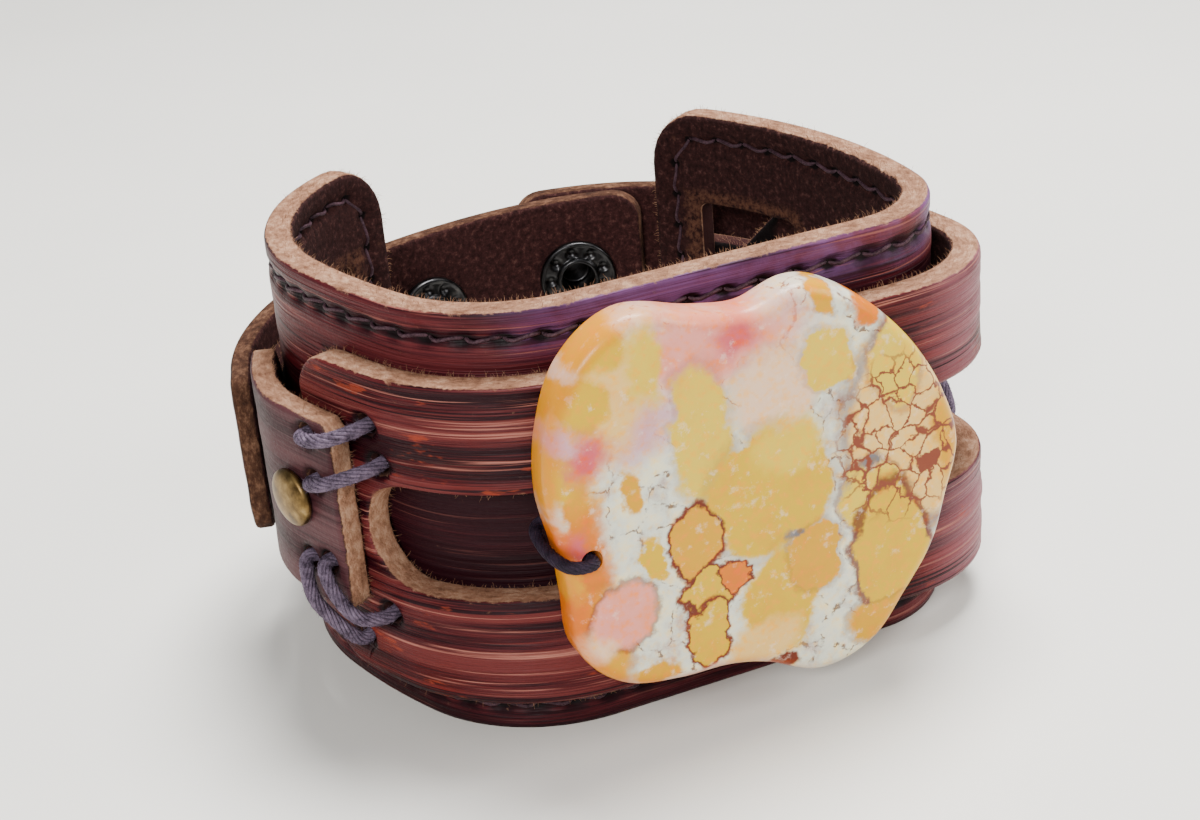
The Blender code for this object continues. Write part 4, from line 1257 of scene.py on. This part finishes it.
# A narrow ring inside the polished front keeps its shading flat.
STONE_RIM = 0.00012
STONE_RADII = (1.00, 0.97, 0.95, 0.95, 0.97, 0.98, 0.89, 0.96, 1.15, 1.18, 1.11, 1.03,
               0.95, 0.96, 1.04, 1.02, 0.91, 0.83, 0.86, 1.01, 1.05, 1.00, 0.99, 0.97)
MM = 0.001


def stone_radius(turn):
    """Radius of the stone's outline, on a smooth curve through the table"""
    count = len(STONE_RADII)
    at = turn / (2 * pi) * count
    k = int(at)
    near = [STONE_RADII[(k + j - 1) % count] for j in range(4)]
    return on_curve(*near, at - k) * STONE_SIZE / 2


stone_back = -(GAP + OVERLAY_THICKNESS + GAP)
stone_front = stone_back - STONE_THICKNESS
stone_centre = front + Vector((STONE_CENTRE_X, 0, STONE_CENTRE_Z))
left_edge = STONE_CENTRE_X - stone_radius(pi)
hole_x = left_edge + STONE_HOLE_FROM_EDGE
hole_z = STONE_CENTRE_Z - STONE_HOLE / 2
rings = [(STONE_EDGE * 0.6, stone_back), (STONE_EDGE * 0.2, stone_back - STONE_EDGE * 0.15),
         (0, stone_back - STONE_EDGE * 0.6)]
for k in range(9):
    turn = pi / 2 * k / 8
    rings.append((STONE_EDGE * (1 - cos(turn)), stone_front + STONE_EDGE * (1 - sin(turn))))
rings.append((STONE_EDGE + STONE_RIM, stone_front))
bm = bmesh.new()
outlines = []
for inset, y in rings:
    corners = []
    for k in range(STONE_SIDES):
        turn = 2 * pi * k / STONE_SIDES
        radius = stone_radius(turn) - inset
        corners.append(bm.verts.new(stone_centre + Vector((radius * cos(turn), y, radius * sin(turn)))))
    outlines.append(corners)
for near, far in zip(outlines, outlines[1:]):
    for k in range(STONE_SIDES):
        bm.faces.new((near[k - 1], near[k], far[k], far[k - 1]))
bm.faces.new(outlines[0])
bm.faces.new(outlines[-1])
bmesh.ops.recalc_face_normals(bm, faces=bm.faces[:])
slab = add_object("slab", bm)
bm = bmesh.new()
bmesh.ops.create_cone(bm, cap_ends=True, segments=32, radius1=STONE_HOLE / 2, radius2=STONE_HOLE / 2,
                      depth=3 * STONE_THICKNESS, matrix=Matrix.Rotation(pi / 2, 4, "X"))
bmesh.ops.translate(bm, verts=bm.verts[:], vec=front + Vector((hole_x, stone_front, hole_z)))
drill = add_object("drill", bm)
hole = slab.modifiers.new("hole", "BOOLEAN")
hole.solver = "EXACT"
hole.object = drill
drilled_mesh = bpy.data.meshes.new_from_object(slab.evaluated_get(bpy.context.evaluated_depsgraph_get()))
bpy.data.objects.remove(slab)
bpy.data.objects.remove(drill)
bm = bmesh.new()
bm.from_mesh(drilled_mesh)

YELLOW = (0.55, 0.34, 0.0)
GOLD = (0.54, 0.27, 0.0)
PALE_YELLOW = (0.60, 0.42, 0.030)
PEACH = (0.68, 0.43, 0.13)
ORANGE = (0.54, 0.14, 0.0)
BLUSH = (0.70, 0.46, 0.30)
RED_BROWN = (0.11, 0.016, 0.005)
PINK = (0.68, 0.25, 0.20)
ROSE = (0.50, 0.075, 0.10)
LILAC = (0.52, 0.28, 0.33)
GREY_WHITE = (0.56, 0.575, 0.48)
CLOUD_GREY = (0.40, 0.33, 0.29)
CLOUD_WHITE = (0.70, 0.70, 0.58)
VEIN_GREY = (0.13, 0.12, 0.13)
HONEY = (1.0, 0.86, 0.55)
MOTTLE = (0.74, 0.60, 0.50)
AMBER = (0.75, 0.42, 0.10)
NET_BROWN = (0.17, 0.035, 0.014)
RIM_ORANGE = (0.62, 0.11, 0.0)
# The middle and half sizes of the stone's netted patch
NET_MIDDLE = (17.0, 2.6)
NET_HALF = (8.2, 9.6)
STONE_PATCHES = (
    # colour, middle right of and above the stone's middle, half width, half height, softness, outline
    (LILAC, -14.5, 12.0, 4.5, 3.5, 0.60, 0.0),
    (PINK, -5.0, 19.0, 10.0, 4.2, 0.45, 0.0),
    (ROSE, -2.7, 19.3, 2.6, 2.0, 0.60, 0.0),
    (GOLD, -23.5, 5.0, 4.2, 11.0, 0.25, 0.0),
    (ORANGE, -21.5, -1.5, 3.6, 6.5, 0.35, 0.0),
    (GOLD, -21.0, -13.0, 4.8, 8.0, 0.22, 0.3),
    (ORANGE, -22.5, -8.0, 3.0, 4.5, 0.50, 0.0),
    (PEACH, -18.5, 17.5, 5.6, 8.5, 0.30, 0.0),
    (YELLOW, -18.2, 21.5, 3.8, 3.0, 0.20, 0.0),
    (YELLOW, -19.8, 15.7, 3.0, 2.7, 0.16, 0.0),
    (YELLOW, -23.2, 9.2, 2.2, 3.4, 0.20, 0.0),
    (ROSE, -19.5, 10.3, 2.2, 2.6, 0.60, 0.0),
    (PINK, -16.7, -8.9, 3.6, 3.6, 0.15, 0.7),
    (GOLD, -15.0, 5.2, 1.3, 2.4, 0.20, 0.0),
    (YELLOW, -13.2, -2.8, 1.3, 2.4, 0.10, 0.0),
    (PALE_YELLOW, -12.5, 18.6, 2.0, 4.6, 0.30, 0.0),
    (GREY_WHITE, -20.8, 19.2, 1.5, 1.0, 0.60, 0.0),
    (LILAC, -21.8, 12.4, 1.6, 1.3, 0.60, 0.0),
    (GREY_WHITE, -22.6, 4.4, 0.8, 1.6, 0.60, 0.0),
    (ROSE, -21.2, 0.8, 1.1, 1.7, 0.70, 0.0),
    (YELLOW, -22.6, -3.6, 1.4, 1.9, 0.40, 0.0),
    (BLUSH, -20.2, -11.8, 1.5, 2.2, 0.60, 0.0),
    (YELLOW, -20.6, -17.0, 1.8, 1.4, 0.40, 0.0),
    (PALE_YELLOW, -7.0, 9.5, 3.3, 7.4, 0.10, 0.25),
    (BLUSH, 1.6, 12.0, 4.6, 4.6, 0.25, 0.2),
    (YELLOW, 0.6, 0.6, 7.1, 6.9, 0.04, 0.25),
    (PALE_YELLOW, 3.0, 5.6, 3.8, 3.0, 0.40, 0.0),
    (YELLOW, 1.7, -12.6, 4.4, 6.4, 0.08, 0.10),
    (GOLD, 5.7, -8.6, 2.9, 3.9, 0.04, 0.30),
    (PEACH, -1.2, -17.0, 4.6, 2.6, 0.30, 0.0),
    (PALE_YELLOW, 8.0, 14.0, 3.2, 3.3, 0.05, 0.25),
    (GOLD, 7.9, 21.2, 1.4, 1.8, 0.12, 0.3),
    (ORANGE, 12.8, 19.0, 2.2, 1.5, 0.20, 0.3),
    (PEACH, 18.5, 4.5, 7.8, 12.0, 0.06, 0.6),
    (PALE_YELLOW, 16.3, 11.8, 3.4, 4.6, 0.08, 0.4),
    (GOLD, 22.6, 2.0, 2.2, 6.0, 0.30, 0.0),
    (PALE_YELLOW, 12.6, -3.4, 3.6, 4.2, 0.08, 0.6),
    (YELLOW, 14.8, -11.0, 4.2, 7.6, 0.04, 0.9),
    (GOLD, 13.5, -18.6, 4.4, 2.4, 0.12, 0.4),
    (GOLD, -8.2, -2.4, 2.8, 4.0, 0.04, 1.0),
    (YELLOW, -6.9, -8.8, 3.4, 2.3, 0.04, 1.0),
    (ORANGE, -3.9, -8.0, 1.6, 1.9, 0.04, 1.0),
    (YELLOW, -7.5, -13.6, 2.2, 3.3, 0.04, 1.0),
    (GOLD, -13.5, -16.8, 2.6, 1.4, 0.25, 0.0),
    (RED_BROWN, 1.2, -20.8, 2.2, 1.3, 0.20, 0.0),
    (VEIN_GREY, 12.5, 0.8, 1.3, 1.1, 0.50, 0.0),
    (VEIN_GREY, 3.6, -5.2, 0.8, 0.6, 0.50, 0.0),
)


def vector_maths(tree, operation, *values):
    made = add_node(tree, "ShaderNodeVectorMath", dict(enumerate(values)), operation=operation)
    return made.outputs["Value" if operation == "LENGTH" else "Vector"]


def off_patch(tree, place, x, z, half_width, half_height):
    """0 in a patch's middle and 1 on its outline: its place and half sizes are in millimetres"""
    away = vector_maths(tree, "SUBTRACT", place, (x * MM, 0, z * MM))
    shares = vector_maths(tree, "MULTIPLY", away, (1 / (half_width * MM), 0, 1 / (half_height * MM)))
    return vector_maths(tree, "LENGTH", shares)


stone_finish, tree, shader = new_finish("polished patterned stone")
place = object_place(tree)
inset = attribute(tree, "inset")
from_middle = vector_maths(tree, "SUBTRACT", place, stone_centre)
wobble = add_node(tree, "ShaderNodeTexNoise",
                  {"Vector": place, "Scale": 210, "Detail": 5, "Roughness": 0.6})
shift = vector_maths(tree, "SUBTRACT", wobble.outputs["Color"], (0.5, 0.5, 0.5))
warped = vector_maths(tree, "MULTIPLY_ADD", shift, (STONE_WARP * MM, 0, STONE_WARP * MM), from_middle)
cloud = grain_noise(tree, place, 260, detail=5, roughness=0.65)
fine_cloud = grain_noise(tree, place, 1200, detail=4)
colour = ramp(tree, cloud, (0.32, CLOUD_GREY), (0.47, GREY_WHITE), (0.64, CLOUD_WHITE))
veins = add_node(tree, "ShaderNodeTexVoronoi", {"Vector": warped, "Scale": 190}, feature="DISTANCE_TO_EDGE")
vein = times(tree, step_up(tree, veins.outputs["Distance"], 0.030, 0.006),
             step_up(tree, fine_cloud, 0.42, 0.60))
colour = mixed(tree, vein, colour, VEIN_GREY)
for patch, x, z, half_width, half_height, softness, outline in STONE_PATCHES:
    distance = off_patch(tree, warped, x, z, half_width, half_height)
    if outline:
        border = times(tree, step_up(tree, distance, 1.30, 1.10), outline)
        colour = mixed(tree, border, colour, RED_BROWN)
    colour = mixed(tree, step_up(tree, distance, 1.04 + softness, 1.0 - softness), colour, patch)
golden = times(tree, step_up(tree, cloud, 0.48, 0.66), 0.55)
colour = mixed(tree, golden, colour, HONEY, "MULTIPLY")
mottle = step_up(tree, grain_noise(tree, place, 620, detail=5, roughness=0.7), 0.56, 0.70)
colour = mixed(tree, times(tree, mottle, 0.40), colour, MOTTLE)
colour = mixed(tree, step_up(tree, fine_cloud, 0.45, 0.75), colour, AMBER, "SOFT_LIGHT")
cells = add_node(tree, "ShaderNodeTexVoronoi", {"Vector": warped, "Scale": 420, "Randomness": 0.9},
                 feature="DISTANCE_TO_EDGE")
cell_lines = step_up(tree, cells.outputs["Distance"], times(tree, cloud, 0.17), 0.02)
net_distance = off_patch(tree, warped, *NET_MIDDLE, *NET_HALF)
net = times(tree, cell_lines, step_up(tree, net_distance, 1.15, 0.85))
colour = mixed(tree, net, colour, NET_BROWN)
rim = step_up(tree, maths(tree, "MULTIPLY_ADD", cloud, 0.003, inset), 0.0036, 0.0018)
left_share = add_node(tree, "ShaderNodeSeparateXYZ", {0: from_middle}).outputs["X"]
rim = times(tree, rim, step_up(tree, left_share, 0.016, -0.010))
colour = mixed(tree, times(tree, rim, 0.5), colour, RIM_ORANGE)
tree.links.new(colour, shader.inputs["Base Color"])
shader.inputs["Roughness"].default_value = 0.28
shader.inputs["Specular IOR Level"].default_value = 0.16
shader.inputs["Coat Weight"].default_value = 0.05
shader.inputs["Coat Roughness"].default_value = 0.06
roughen(tree, shader, cloud, 0.00008, 0.35)

inset_layer = bm.verts.layers.float.new("inset")
for vert in bm.verts:
    out = vert.co - stone_centre
    radius = hypot(out.x, out.z)
    vert[inset_layer] = stone_radius(atan2(out.z, out.x) % (2 * pi)) - radius
stone = add_piece("polished_stone", bm, stone_finish, "stone", "stone")
stone.data.set_sharp_from_angle(angle=radians(40))

under = stone_back / 2
over = STONE_CORD / 2 + GAP / 2
cord_points = [
    (hole_x + 3.4 * LACE, under, hole_z + 1.6 * LACE),
    (hole_x, under, hole_z + 1.4 * LACE),
    (left_edge - 0.3 * over, under - 0.3 * over, hole_z + 1.0 * LACE),
    (left_edge - over, (stone_back + stone_front) / 2, hole_z + 0.6 * LACE),
    (left_edge + 0.2 * over, stone_front - 0.9 * over, hole_z + 0.3 * LACE),
    (hole_x - 0.2 * over, stone_front - 0.8 * over, hole_z),
    (hole_x, stone_front + 0.25 * STONE_THICKNESS, hole_z),
    (hole_x, stone_back - 0.1 * over, hole_z),
    (hole_x + over, under, hole_z - 0.3 * LACE),
    (hole_x + 3.4 * LACE, under, hole_z - 0.5 * LACE),
]
cord_line = smooth_line([front + Vector(point) for point in cord_points], LINE_STEP)
stone_threads = thread_bundle(cord_line, STONE_CORD, LACE_THREADS, THREAD, STONE_CORD_TWIST)
dark_cord = thread_finish("dark waxed cord", (0.006, 0.003, 0.007), (0.030, 0.018, 0.034), 0.6)
add_threads("stone_cord_threads", stone_threads, THREAD, dark_cord, "cord", "stone_cord")
